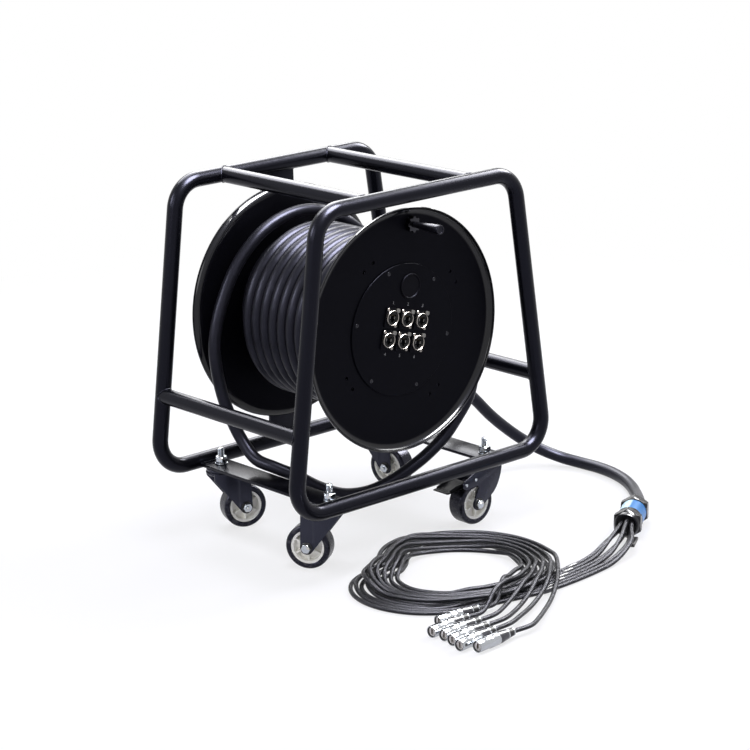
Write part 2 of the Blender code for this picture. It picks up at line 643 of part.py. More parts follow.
def winding_points():
    """The outer layer's helix, from the front towards the rear disc."""
    count = WINDING_TURNS * POINTS_PER_TURN
    points = []
    for step in range(count + 1):
        angle = TRUNK_START_ANGLE + 2 * math.pi * step / POINTS_PER_TURN
        depth = WINDING_START - WINDING_PITCH * step / POINTS_PER_TURN
        points.append((WINDING_RADIUS * math.cos(angle), WINDING_RADIUS * math.sin(angle), depth))
    return points


def least_self_gap(points, diameter):
    """The least space between a tube's turns, measured between points half a turn or more apart."""
    line, places = densely(points, diameter / 4)
    least = math.inf
    for index in range(len(line)):
        away = line[np.abs(places - places[index]) > 6]
        if len(away):
            least = min(least, np.min(np.linalg.norm(away - line[index], axis=1)))
    return least - diameter


def build_winding(drum, jacket):
    """The cable on the drum: the outer layer's turns over a plain inner layer."""
    low, high = -REAR_FACE + GAP, FRONT_FACE - DISC_SHEET - GAP
    core = CORE_RADIUS + GAP
    profile = [(core, low), (INNER_LAYER_RADIUS, low), (INNER_LAYER_RADIUS, high), (core, high)]
    add_object("cable_inner_layer", lathe("cable_inner_layer", profile, DISC_STEPS), jacket, drum)
    points = winding_points()
    tube("cable_winding", points, TRUNK_RADIUS, jacket, drum)
    print("winding: least gap between turns, mm:", round(least_self_gap(points, TRUNK_DIAMETER) / MM, 2))


def trunk_points():
    """The trunk cable from its last turn beside the front disc, round the loose loop to the gland."""
    sweep = 2 * math.pi - (TRUNK_LEAVE_ANGLE - TRUNK_START_ANGLE)
    count = round(sweep / (2 * math.pi) * POINTS_PER_TURN)
    turn = []
    for step in range(count + 1):
        angle = TRUNK_START_ANGLE - sweep * step / count
        turn.append((WINDING_RADIUS * math.cos(angle), -TRUNK_SLOT,
                     DRUM_HEIGHT + WINDING_RADIUS * math.sin(angle)))
    loose = [(x * MM, y * MM, z * MM) for x, y, z in TRUNK_ROUTE]
    loose.append((*GLAND_START, GLAND_AXIS_HEIGHT))
    loose.append(gland_point(GLAND_TRUNK_SEAT))
    return turn[:-1] + smooth_route([turn[-1]] + loose, 2 * TRUNK_DIAMETER)


def gland_point(along, across=0.0, height=0.0):
    """A place in the gland's frame, measured from where the trunk enters it."""
    cosine, sine = math.cos(GLAND_DIRECTION), math.sin(GLAND_DIRECTION)
    return (GLAND_START[0] + along * cosine - across * sine,
            GLAND_START[1] + along * sine + across * cosine, GLAND_AXIS_HEIGHT + height)


def build_gland(root, metal):
    """The splitter: a sleeve between two domed hex nuts, the trunk in one end and the tails in the other."""
    radius = GLAND_DIAMETER / 2
    holder = frame_empty("gland_axis", root, gland_point(0), (0, math.pi / 2, GLAND_DIRECTION))
    inset = 2 * MM
    sleeve = lathe("cable_gland", [(0, inset), (radius, inset), (radius, GLAND_LENGTH - inset),
                                   (0, GLAND_LENGTH - inset)], 16)
    gland = add_object("cable_gland", sleeve, metal, holder)
    for name, seat, tip in (("trunk_nut", GLAND_NUT_HEIGHT, 0),
                            ("tail_nut", GLAND_LENGTH - GLAND_NUT_HEIGHT, GLAND_LENGTH)):
        nut = prism(name, circle(GLAND_NUT_WIDTH / math.sqrt(3), 6), min(seat, tip), max(seat, tip))
        for vertex in nut.vertices:
            if abs(vertex.co.z - tip) < inset:
                vertex.co.xy *= 0.88
        join(gland, nut, holder)
    cut(gland, prism("trunk_bore", circle(TRUNK_RADIUS + 3 * GAP, 12), -inset,
                     GLAND_TRUNK_SEAT + inset), holder)
    cut(gland, prism("tail_mouth", circle(TAIL_RING_RADIUS + 0.8 * TAIL_DIAMETER, 12),
                     GLAND_LENGTH - GLAND_TAIL_SEAT - inset, GLAND_LENGTH + inset), holder)


def between(knots, travel):
    """A value on a smooth curve through knots of (travel, value)."""
    places = np.array([knot[0] for knot in knots], float)
    values = np.array([knot[1] for knot in knots], float)
    slopes = np.gradient(values, places)
    index = min(int(np.searchsorted(places, travel, "right")), len(places) - 1) - 1
    span = places[index + 1] - places[index]
    t = (travel - places[index]) / span
    return ((1 + 2 * t) * (1 - t) ** 2 * values[index] + t * (1 - t) ** 2 * span * slopes[index]
            + t * t * (3 - 2 * t) * values[index + 1] + t * t * (t - 1) * span * slopes[index + 1])


def coil_place(across, away):
    """A place on the floor from its distances across and away from the coil's middle, in millimetres."""
    cosine, sine = math.cos(COIL_HEADING) * MM, math.sin(COIL_HEADING) * MM
    return (COIL_CENTRE[0] + across * cosine - away * sine,
            COIL_CENTRE[1] + across * sine + away * cosine, TAIL_DIAMETER / 2 + GAP)


def coil_point(travel, share):
    """Where a tail lies after some degrees round the coil. Share runs from -1, inside, to 1, outside."""
    radius = between(COIL_MEAN, travel) + share * between(COIL_HALF_WIDTH, travel)
    angle = math.radians(COIL_START - travel)
    return coil_place(radius * math.cos(angle), radius * math.sin(angle))


def plug_end(number, run=0.0):
    """The middle of a plug's cable end, or a place some way behind it."""
    x, y, heading = PLUG_PLACES[number]
    turn = math.radians(heading)
    back = PLUG_LENGTH + 2 * GAP + run
    return (x * MM - back * math.cos(turn), y * MM - back * math.sin(turn), PLUG_DIAMETER / 2 + GAP)


def tail_lead(number):
    """A tail's way from the gland's ring of six to the flat row in which the coil begins."""
    share = number / 2.5 - 1
    seat = GLAND_LENGTH - GLAND_TAIL_SEAT
    middle = [gland_point(seat), gland_point(seat + 14 * MM)]
    middle += [coil_place(*place) for place in TAIL_LEAD] + [coil_point(travel, 0) for travel in (0, 12)]
    floor = middle[-1][2]
    lead = []
    for index, place in enumerate(middle[:-1]):
        along = np.subtract(middle[index + 1], middle[max(index - 1, 0)])[:2]
        left = np.array([-along[1], along[0]]) / np.linalg.norm(along)
        opened = math.radians(90 * min(1, max(0, index - 1) / 2.2))
        across, rise = (TAIL_RING_RADIUS * part * math.cos(opened) for part in TAIL_SEATS[number])
        across += share * COIL_HALF_WIDTH[0][1] * MM * math.sin(opened)
        low = floor + (GLAND_AXIS_HEIGHT - floor) * math.cos(opened) + rise
        lead.append((place[0] + left[0] * across, place[1] + left[1] * across, max(floor, low)))
    return lead


def tail_layers(number):
    """A tail's way over the floor in three parts: the coil's first layer, its second, and on to the plug."""
    share = number / 2.5 - 1
    start, middle, end = COIL_LAYERS
    first = tail_lead(number) + [coil_point(travel, share) for travel in range(15, start + 1, 15)]
    second = [coil_point(travel, share) for travel in range(start, middle + 1, 15)]
    third = [coil_point(travel, share) for travel in range(middle, end + 1, 15)]
    third.append(coil_place(*(place + share * spread for place, spread in zip(TAIL_TURN, TAIL_TURN_SPREAD))))
    third += [plug_end(number, run) for run in ((32 + 3 * number) * MM, 12 * MM, 0)]
    return [smooth_route(part, TAIL_POINT_SPACING) for part in (first, second, third)]


def lay_over(points, fixed, kept, below):
    """Lift a line's points, apart from its first and last ones, until it clears the lines below it."""
    heights = np.array([max(point[2], TAIL_DIAMETER / 2 + GAP) for point in points])
    clear = TAIL_DIAMETER + TAIL_CLEARANCE
    for attempt in range(60):
        raised = [(x, y, z) for (x, y, _), z in zip(points, heights)]
        line, places = densely(raised, TAIL_DIAMETER / 2)
        flat = np.linalg.norm(line[:, None, :2] - below[None, :, :2], axis=2)
        over = np.sqrt(np.maximum(clear ** 2 - flat ** 2, 0))
        touching = (flat < clear) & (np.abs(line[:, None, 2] - below[None, :, 2]) < over)
        lift = np.where(touching, below[None, :, 2] + over - line[:, None, 2], 0).max(axis=1)
        lift[(places < fixed - 0.5) | (places > len(points) - kept - 0.5)] = 0
        if lift.max() < 0.02 * MM:
            break
        for index in range(fixed, len(points) - kept):
            weight = np.maximum(1 - np.abs(places - index), 0)
            heights[index] += (lift * weight / (weight ** 2 + (1 - weight) ** 2)).max()
        last = len(points) - max(kept, 1)
        level = (heights[fixed - 1:last - 1] + heights[fixed + 1:last + 1]) / 2
        heights[fixed:last] = np.maximum(heights[fixed:last], level - TAIL_SAG)
    return [(x, y, z) for (x, y, _), z in zip(points, heights)]


def tail_points():
    """All six tails, each layer of the coil laid over what lies there already."""
    tails = [[] for number in range(6)]
    layers = [tail_layers(number) for number in range(6)]
    for stage in range(3):
        for number, tail in enumerate(tails):
            below = [densely(other, TAIL_DIAMETER / 2)[0] for other in tails if other and other is not tail]
            points, fixed = layers[number][stage], 4
            if tail:
                own, places = densely(tail, TAIL_DIAMETER / 2)
                below.append(own[places < len(tail) - 5])
                points, fixed = [tail[-1]] + points[1:], 1
            kept = 2 if stage == 2 else 0
            laid = lay_over(points, fixed, kept, np.concatenate(below or [np.ones((1, 3))]))
            tail += laid[1 if tail else 0:]
    return tails


def build_tails(root, jacket):
    """The six tails from the gland to the plugs."""
    tails = tail_points()
    lines = [densely(points, TAIL_DIAMETER / 2)[0] for points in tails]
    least = min(np.min(np.linalg.norm(lines[one][:, None] - lines[other][None], axis=2))
                for one in range(6) for other in range(one))
    print("tails: least gap between two, mm:", round((least - TAIL_DIAMETER) / MM, 2))
    for number, points in enumerate(tails, start=1):
        tube(f"cable_tail_{number}", points, TAIL_DIAMETER / 2, jacket, root)
        own = least_self_gap(points, TAIL_DIAMETER)
        length = sum(math.dist(*pair) for pair in zip(points, points[1:]))
        print(f"tail {number}: length, m: {length:.3f}, least gap to itself, mm: {own / MM:.2f}")


def build_plugs(root, metal):
    """Six round metal plugs with a boot, each with the jack's window in its nose."""
    radius = PLUG_DIAMETER / 2
    boot = 0.36 * PLUG_LENGTH
    profile = [(0, 0), (4.6 * MM, 0), (6.5 * MM, boot * 0.75), (6.5 * MM, boot), (8.4 * MM, boot),
               (radius, boot + 3 * MM), (radius, PLUG_LENGTH - 22 * MM),
               (radius - 0.8 * MM, PLUG_LENGTH - 21 * MM), (radius - 0.8 * MM, PLUG_LENGTH), (0, PLUG_LENGTH)]
    shape = add_object("cable_plug", lathe("cable_plug", profile, 8), metal)
    cut(shape, box("window", (JACK_WIDTH, JACK_HEIGHT, 20 * MM), (0, 0, PLUG_LENGTH)))
    mesh = settle(shape)
    for number, (x, y, heading) in enumerate(PLUG_PLACES, start=1):
        turn = math.radians(heading)
        x, y = x * MM - PLUG_LENGTH * math.cos(turn), y * MM - PLUG_LENGTH * math.sin(turn)
        add_object(f"cable_plug_{number}", mesh, metal, root, location=(x, y, radius + GAP),
                   rotation=(0, math.pi / 2, turn))


def brake_pivot():
    """The brake pedal's pin: how far it trails, and its height."""
    return (CASTER_TRAIL + BRAKE_PIN_TRAIL, WHEEL_DIAMETER / 2 + BRAKE_PIN_RISE)


def fork_outline(braked):
    """A fork leg seen from its side: x is the way the wheel trails, y is up."""
    x, y = CASTER_TRAIL, WHEEL_DIAMETER / 2
    boss = [(x + FORK_BOSS_RADIUS * math.cos(angle), y + FORK_BOSS_RADIUS * math.sin(angle))
            for angle in (math.radians(degrees) for degrees in range(220, 381, 40))]
    if not braked:
        leg = [(-FORK_FRONT, FORK_TOP), (-FORK_FRONT, FORK_TOP - FORK_LIP)]
        back = x + FORK_BOSS_RADIUS
        return leg + boss + [(back - 2 * MM, y + FORK_TAIL_RISE), (RACE_DIAMETER / 2, FORK_TOP)]
    leg = [(-FORK_FRONT, FORK_TOP), (-FORK_FRONT, FORK_TOP - BRAKE_FORK_LIP)]
    leg += [(-FORK_FRONT + back, FORK_TOP - drop) for back, drop in BRAKE_FORK_SLOPE]
    behind = [(x + back, y + rise) for back, rise in BRAKE_FORK_BACK]
    x, y = brake_pivot()
    eye = BRAKE_PIN_DIAMETER
    behind += [(x - 0.8 * eye, y - 1.4 * eye), (x + eye, y - eye), (x + 1.4 * eye, y + 0.4 * eye),
               (x + 0.4 * eye, y + 1.6 * eye)]
    corner = [(BRAKE_REACH, FORK_TOP - BRAKE_CORNER[1]), (BRAKE_REACH - BRAKE_CORNER[0], FORK_TOP)]
    return leg + boss + behind + corner


def fork_shape(braked, paint):
    """A pressed fork with its axle bolt, around its swivel axis, the wheel trailing towards +X."""
    outside = FORK_INSIDE + FORK_SHEET
    legs = prism("fork", fork_outline(braked), -outside, outside)
    legs.transform(Matrix.Rotation(math.pi / 2, 4, "X"))
    fork = add_object("fork_braked" if braked else "fork_plain", legs, paint)
    inner_top = FORK_TOP - 2 * FORK_SHEET
    join(fork, rod("fork_crown", RACE_DIAMETER / 2 + FORK_CROWN, (0, 0, inner_top + 0.1 * MM),
                   (0, 0, FORK_TOP - 0.1 * MM), 12))
    cut(fork, box("fork_inside", (6 * RACE_DIAMETER, 2 * FORK_INSIDE, inner_top + 10 * MM),
                  (0, 0, (inner_top - 10 * MM) / 2)))
    if braked:
        cut(fork, box("brake_gap", (RACE_DIAMETER * 2, 2 * FORK_INSIDE, FORK_TOP),
                      (BRAKE_REACH + RACE_DIAMETER, 0, FORK_TOP / 2 + 5 * MM)))
    cut(fork, rod("kingpin_hole", KINGPIN_DIAMETER / 2 + GAP, (0, 0, inner_top - 5 * MM),
                  (0, 0, FORK_TOP + 5 * MM), 12))
    axle = AXLE_DIAMETER / 2
    x, z = CASTER_TRAIL, WHEEL_DIAMETER / 2
    bolt = outside + AXLE_HEAD_HEIGHT / 2
    join(fork, rod("axle_bolt", axle, (x, -bolt, z), (x, bolt, z), 8))
    for side in (-1, 1):
        join(fork, rod("axle_head", 1.6 * axle, (x, side * (outside - FORK_SHEET / 2), z),
                       (x, side * (outside + AXLE_HEAD_HEIGHT), z), 6))
    if braked:
        x, z = brake_pivot()
        rivet = outside + 1 * MM
        join(fork, rod("brake_pin", BRAKE_PIN_DIAMETER / 2, (x, -rivet, z), (x, rivet, z), 8))
    return settle(fork)


def wheel_shape():
    """A wheel around its axle: tyre with round shoulders, dished hub and long bosses."""
    rim = WHEEL_DIAMETER / 2
    half = WHEEL_WIDTH / 2
    hub = rim - TYRE_THICKNESS
    bore = AXLE_DIAMETER / 2 + GAP
    boss = half + SIDE_PLAY - GAP
    side = [(bore, boss), (bore + 3.5 * MM, boss), (bore + 3.5 * MM, half * 0.6), (hub - 3 * MM, half * 0.6),
            (hub, half), (rim - 3.5 * MM, half), (rim, half - 4 * MM)]
    profile = side + [(radius, -place) for radius, place in reversed(side)]
    mesh = lathe("wheel", profile, 14)
    mesh.transform(Matrix.Rotation(math.pi / 2, 4, "X"))
    return mesh


def pedal_shape(metal):
    """A brake pedal round its pin: an eye between the fork's legs and a broad toe plate behind the wheel."""
    half = FORK_INSIDE - 2 * GAP
    (heel_x, heel_y), (toe_x, toe_y) = PEDAL_HEEL, PEDAL_TOE
    outline = circle(PEDAL_EYE_RADIUS, 12, start=math.radians(60))[:9]
    outline += [(heel_x, heel_y), (toe_x - 1 * MM, toe_y), (toe_x + 2 * MM, toe_y + 2 * MM),
                (toe_x, toe_y + PEDAL_SHEET), (heel_x, heel_y + 1.6 * PEDAL_SHEET)]
    plate = prism("brake_pedal", outline, -half, half)
    plate.transform(Matrix.Rotation(math.pi / 2, 4, "X"))
    pedal = add_object("brake_pedal", plate, metal)
    cut(pedal, rod("pedal_bore", BRAKE_PIN_DIAMETER / 2 + GAP, (0, -2 * half, 0), (0, 2 * half, 0), 8))
    return settle(pedal)


def stem_shape(zinc):
    """A caster's fixed stem: kingpin and race below the bar, stud, washer and nut above it."""
    pin = KINGPIN_DIAMETER / 2
    stud = STUD_DIAMETER / 2
    race = RACE_DIAMETER / 2
    race_high = CASTER_HEIGHT - GAP
    race_low = race_high - RACE_THICKNESS
    fork_inner = race_low - GAP - 2 * FORK_SHEET
    washer = BAR_TOP + GAP
    tip = BAR_TOP + STUD_LENGTH
    profile = [(0, fork_inner - 6 * MM), (1.5 * pin, fork_inner - 5 * MM), (1.5 * pin, fork_inner - GAP),
               (pin, fork_inner - GAP), (pin, race_low), (race, race_low), (race, race_high),
               (stud, race_high), (stud, washer), (2 * stud, washer), (2 * stud, washer + 2 * MM),
               (stud, washer + 2 * MM), (stud, tip), (0, tip)]
    stem = add_object("stem", lathe("stem", profile, 10), zinc)
    nut_low = washer + 1.5 * MM
    join(stem, prism("stud_nut", circle(STUD_NUT_WIDTH / math.sqrt(3), 6), nut_low,
                     nut_low + STUD_NUT_HEIGHT))
    return settle(stem)


def build_casters(root, paint, zinc, tyre, metal):
    """Four swivel casters: stems on the frame, forks on their kingpins, wheels, and two brake pedals."""
    stem = stem_shape(zinc)
    forks = {braked: fork_shape(braked, paint) for braked in (True, False)}
    wheel = wheel_shape()
    pedal = pedal_shape(metal)
    pivot = brake_pivot()
    for place, angle in SWIVEL_ANGLES.items():
        end, side = place.split("_")
        x = CASTER_X if side == "right" else -CASTER_X
        y = CASTER_Y if end == "rear" else -CASTER_Y
        braked = place in BRAKED_CASTERS
        add_object(f"caster_stem_{place}", stem, zinc, root, location=(x, y, 0))
        swivel = frame_empty(f"swivel_{place}", root, (x, y, 0), (0, 0, angle))
        add_object(f"caster_fork_{place}", forks[braked], paint, swivel)
        add_object(f"caster_wheel_{place}", wheel, tyre, swivel,
                   location=(CASTER_TRAIL, 0, WHEEL_DIAMETER / 2))
        if braked:
            add_object(f"brake_pedal_{place}", pedal, metal, swivel, location=(pivot[0], 0, pivot[1]))


def build_model():
    """Clear the scene, then build the reel and its loose cable."""
    for item in list(bpy.data.objects):
        bpy.data.objects.remove(item)
    paint = finish("frame_paint", (0.012, 0.013, 0.016), 0.3)
    disc_paint = finish("disc_paint", (0.010, 0.011, 0.013), 0.4)
    steel = finish("machined_steel", (0.42, 0.42, 0.43), 0.35, 1.0)
    nickel = finish("socket_nickel", (0.55, 0.54, 0.52), 0.3, 1.0)
    zinc = finish("bright_zinc", (0.62, 0.64, 0.66), 0.28, 1.0)
    plastic = finish("cap_plastic", (0.012, 0.012, 0.013), 0.5)
    grip = finish("grip_plastic", (0.010, 0.010, 0.011), 0.45)
    jacket = finish("trunk_jacket", (0.035, 0.037, 0.043), 0.55)
    tail_jacket = finish("tail_jacket", (0.030, 0.031, 0.035), 0.6)
    gland_metal = finish("gland_metal", (0.10, 0.11, 0.12), 0.4, 0.6)
    tyre = finish("tyre_rubber", (0.014, 0.014, 0.016), 0.45)

    root = frame_empty("reel", location=(0, MID_Y, 0))
    axle = frame_empty("drum_axle", root, (0, 0, DRUM_HEIGHT), (0, DRUM_ANGLE, 0))
    drum = frame_empty("drum_face", axle, rotation=(math.pi / 2, 0, 0))

    build_frame(root, paint)
    hub_front = build_drum(drum, disc_paint, steel)
    build_spindle(root, steel, hub_front)
    build_panel(drum, disc_paint, nickel, plastic)
    build_crank(drum, steel, grip)
    build_winding(drum, jacket)
    build_casters(root, paint, zinc, tyre, paint)
    tube("trunk_cable", trunk_points(), TRUNK_RADIUS, jacket, root)
    build_gland(root, gland_metal)
    build_tails(root, tail_jacket)
    build_plugs(root, nickel)


build_model()
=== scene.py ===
"""Looks of the network cable reel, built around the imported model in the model's own frame.

Metres: X runs across the hoops, Y along the drum's axle with the front at -Y, Z up from the floor.
"""

import logging
import math
from collections.abc import Iterable, Sequence
from dataclasses import dataclass, field
from enum import Enum

import bmesh
import bpy
import numpy as np
from mathutils import Matrix, Vector


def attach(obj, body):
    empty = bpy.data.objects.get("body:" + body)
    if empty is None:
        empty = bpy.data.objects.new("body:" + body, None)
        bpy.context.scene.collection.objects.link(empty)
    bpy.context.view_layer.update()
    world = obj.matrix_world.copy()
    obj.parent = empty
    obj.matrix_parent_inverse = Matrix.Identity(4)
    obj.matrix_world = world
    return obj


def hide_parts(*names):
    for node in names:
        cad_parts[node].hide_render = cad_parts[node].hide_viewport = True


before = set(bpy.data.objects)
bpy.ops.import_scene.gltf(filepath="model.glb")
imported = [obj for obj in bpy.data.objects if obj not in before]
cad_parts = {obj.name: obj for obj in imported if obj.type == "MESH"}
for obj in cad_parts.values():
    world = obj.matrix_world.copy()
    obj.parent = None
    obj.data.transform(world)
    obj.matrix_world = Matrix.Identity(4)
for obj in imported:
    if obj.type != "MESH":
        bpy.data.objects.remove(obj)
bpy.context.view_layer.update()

log = logging.getLogger("reel")
logging.basicConfig(level=logging.INFO, format="%(message)s")

MM = 0.001
GAP = 0.3 * MM
MIDDLE_Y = 4.7 * MM

Colour = tuple[float, float, float]
Place = Sequence[float]
Outline = list[tuple[float, float]]

HAND_DUST = (0.12, 0.12, 0.125)
FLOOR_DUST = (0.16, 0.155, 0.15)
STRAW = (0.72, 0.62, 0.40)
CONTACTS = (-3.5, -2.5, -1.5, -0.5, 0.5, 1.5, 2.5, 3.5)
ENDS = (("front", -1), ("rear", 1))
SIDES = (("left", -1), ("right", 1))


class Body(str, Enum):
    """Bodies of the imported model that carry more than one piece."""

    FRAME = "frame"
    DRUM = "drum"
    GRIP = "grip"


class Slot(str, Enum):
    """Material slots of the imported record."""

    FRAME = "frame_paint"
    DISC = "disc_paint"
    STEEL = "machined_steel"
    NICKEL = "socket_nickel"
    ZINC = "bright_zinc"
    CAP = "cap_plastic"
    GRIP = "grip_plastic"
    TRUNK = "trunk_jacket"
    TAIL = "tail_jacket"
    GLAND = "gland_metal"
    TYRE = "tyre_rubber"


# Shader maths


class Wire:
    """A node's output that takes part in Python sums, each of which adds a Math node."""

    def __init__(self, graph: "Graph", socket: bpy.types.NodeSocket) -> None:
        """Wrap a socket.

        Args:
            graph: the node tree's builder.
            socket: the output socket.
        """
        self.graph = graph
        self.socket = socket

    def math(self, operation: str, *values: "Wire | float") -> "Wire":
        """Run values through a Math node.

        Args:
            operation: the Math node's operation.
            values: its inputs, in order.

        Returns:
            The node's result.
        """
        return self.graph.node("ShaderNodeMath", {"operation": operation}, dict(enumerate(values)))

    def __add__(self, other: "Wire | float") -> "Wire":
        """Self plus other."""
        return self.math("ADD", self, other)

    def __radd__(self, other: float) -> "Wire":
        """Other plus self."""
        return self.math("ADD", other, self)

    def __sub__(self, other: "Wire | float") -> "Wire":
        """Self minus other."""
        return self.math("SUBTRACT", self, other)

    def __rsub__(self, other: float) -> "Wire":
        """Other minus self."""
        return self.math("SUBTRACT", other, self)

    def __mul__(self, other: "Wire | float") -> "Wire":
        """Self times other."""
        return self.math("MULTIPLY", self, other)

    def __rmul__(self, other: float) -> "Wire":
        """Other times self."""
        return self.math("MULTIPLY", other, self)

    def __pow__(self, other: "Wire | float") -> "Wire":
        """Self to the power of other."""
        return self.math("POWER", self, other)

    def __gt__(self, other: "Wire | float") -> "Wire":
        """One where self is the greater, and nought elsewhere."""
        return self.math("GREATER_THAN", self, other)

    def sine(self) -> "Wire":
        """The sine of self."""
        return self.math("SINE", self)

    def clamped(self) -> "Wire":
        """Self, kept from nought to one."""
        wire = self.math("ADD", self, 0.0)
        wire.socket.node.use_clamp = True
        return wire


class Graph:
    """Builds one node tree."""

    def __init__(self, tree: bpy.types.NodeTree) -> None:
        """Take an empty node tree.

        Args:
            tree: the tree to fill.
        """
        self.tree = tree

    def node(self, kind: str, settings: dict | None = None, inputs: dict | None = None,
             output: int = 0) -> Wire:
        """Add any node.

        Args:
            kind: the node's type.
            settings: its properties, set first, where stops are a ramp's (place, colour) pairs.
            inputs: what goes into its sockets, as values or wires.
            output: which of its outputs to hand back.

        Returns:
            The chosen output.
        """
        node = self.tree.nodes.new(kind)
        for name, value in (settings or {}).items():
            if name == "stops":
                self._set_stops(node.color_ramp, value)
            else:
                setattr(node, name, value)
        for key, value in (inputs or {}).items():
            if isinstance(value, Wire):
                self.tree.links.new(value.socket, node.inputs[key])
            else:
                node.inputs[key].default_value = value
        return Wire(self, node.outputs[output])

    @staticmethod
    def _set_stops(ramp: bpy.types.ColorRamp, stops: Sequence[tuple[float, Colour]]) -> None:
        """Give a ramp its stops.

        Args:
            ramp: the ramp.
            stops: pairs of place and colour.
        """
        while len(ramp.elements) < len(stops):
            ramp.elements.new(1.0)
        for element, (place, colour) in zip(ramp.elements, stops):
            element.position = place
            element.color = (*colour, 1)

    def place(self) -> Wire:
        """The place on the piece, in its own metres."""
        return self.node("ShaderNodeTexCoord", output=3)

    def stretched(self, scale: Place, vector: Wire | None = None) -> Wire:
        """The place on the piece, or another vector, scaled along each axis."""
        inputs = {0: vector or self.place(), 1: tuple(scale)}
        return self.node("ShaderNodeVectorMath", {"operation": "MULTIPLY"}, inputs)

    def wrap(self) -> Wire:
        """The way round a tube, from 0 to 1, and along it, in metres."""
        return self.node("ShaderNodeUVMap", {"uv_map": "wrap"})

    def axes(self, vector: Wire) -> tuple[Wire, Wire, Wire]:
        """A vector's three parts."""
        first = self.node("ShaderNodeSeparateXYZ", inputs={0: vector})
        outputs = first.socket.node.outputs
        return first, Wire(self, outputs[1]), Wire(self, outputs[2])

    def noise(self, scale: float, detail: float = 2.0, vector: Wire | None = None) -> Wire:
        """Soft noise from 0 to 1 at a number of lumps in a metre."""
        inputs = {"Vector": vector or self.place(), "Scale": scale, "Detail": detail}
        return self.node("ShaderNodeTexNoise", {}, inputs)

    def ramp(self, value: Wire, stops: Sequence[tuple[float, Colour]]) -> Wire:
        """A colour that follows a value."""
        return self.node("ShaderNodeValToRGB", {"stops": stops}, {0: value})

    def mask(self, value: Wire, low: float, high: float) -> Wire:
        """Nought below low, one above high, and smooth between them."""
        settings = {"interpolation_type": "SMOOTHSTEP"}
        inputs = {"Value": value, "From Min": low, "From Max": high}
        return self.node("ShaderNodeMapRange", settings, inputs)

    def mix(self, share: Wire, first: Wire | Colour, second: Wire | Colour) -> Wire:
        """Two colours, mixed by a share of the second."""
        ends = [value if isinstance(value, Wire) else (*value, 1) for value in (first, second)]
        return self.node("ShaderNodeMix", {"data_type": "RGBA"}, {0: share, 6: ends[0], 7: ends[1]}, 2)

    def bump(self, height: Wire, depth: float, strength: float = 1.0) -> Wire:
        """A normal from a height, whose full range is depth metres."""
        return self.node("ShaderNodeBump", {}, {"Height": height, "Distance": depth, "Strength": strength})


# Finishes


@dataclass(frozen=True)
class Finish:
    """A surface finish: its steady values, and through vary() what changes over it.

    Colours are linear. Noise is in lumps to a metre, and shares run from 0 to 1.
    """

    name: str
    colour: Colour
    roughness: float = 0.5
    metallic: float = 0.0
    specular: float = 0.5
    coat: float = 0.0
    tint: Colour = (1, 1, 1)
    slot: Slot | None = None

    def material(self) -> bpy.types.Material:
        """The finish's material, made once.

        Returns:
            The material.
        """
        found = bpy.data.materials.get(self.name)
        if found:
            return found
        material = bpy.data.materials.new(self.name)
        material.use_nodes = True
        material.diffuse_color = (*self.colour, 1)
        graph = Graph(material.node_tree)
        shader = material.node_tree.nodes["Principled BSDF"]
        steady = {"Base Color": (*self.colour, 1), "Roughness": self.roughness, "Metallic": self.metallic,
                  "Specular IOR Level": self.specular, "Specular Tint": (*self.tint, 1),
                  "Coat Weight": self.coat, "Coat Roughness": 0.12}
        for key, value in (steady | self.vary(graph)).items():
            if isinstance(value, Wire):
                graph.tree.links.new(value.socket, shader.inputs[key])
            else:
                shader.inputs[key].default_value = value
        return material

    def vary(self, graph: Graph) -> dict[str, Wire]:
        """What changes over the surface.

        Args:
            graph: the material's node tree.

        Returns:
            The shader's sockets and what feeds them.
        """
        return {"Roughness": graph.noise(40) * 0.1 + (self.roughness - 0.05)}

    def shade(self, factor: float) -> Colour:
        """The finish's colour, made lighter or darker."""
        return tuple(min(1.0, part * factor) for part in self.colour)


@dataclass(frozen=True)
class PowderCoat(Finish):
    """Sprayed and baked paint: a fine orange peel, faint clouding and a little handling dust."""

    peel: float = 0.02
    grain: float = 700.0
    dust: float = 0.07

    def vary(self, graph: Graph) -> dict[str, Wire]:
        """Clouding, orange peel and dust."""
        cloud = graph.noise(14, 4)
        fine = graph.noise(self.grain, 2)
        specks = graph.mask(graph.noise(260, 6), 0.66, 0.78) * graph.mask(graph.noise(9, 3), 0.4, 0.7)
        colour = graph.mix(cloud, self.shade(0.8), self.shade(1.25))
        colour = graph.mix(specks * self.dust, colour, HAND_DUST)
        rough = cloud * 0.06 + fine * 0.05 + (self.roughness - 0.055)
        return {"Base Color": colour, "Roughness": rough, "Normal": graph.bump(fine, self.peel * MM)}


@dataclass(frozen=True)
class RimmedCoat(PowderCoat):
    """Satin paint on a disc that turns about its own Z axis, rubbed to a shine on its lip."""

    lip: tuple[float, float] = (177 * MM, 181 * MM)
    shine: float = 0.55

    def vary(self, graph: Graph) -> dict[str, Wire]:
        """The coat's own changes, and the rubbed lip."""
        across, up, _ = graph.axes(graph.place())
        out = (across * across + up * up) ** 0.5
        return super().vary(graph) | {"Coat Weight": graph.mask(out, *self.lip) * self.shine}


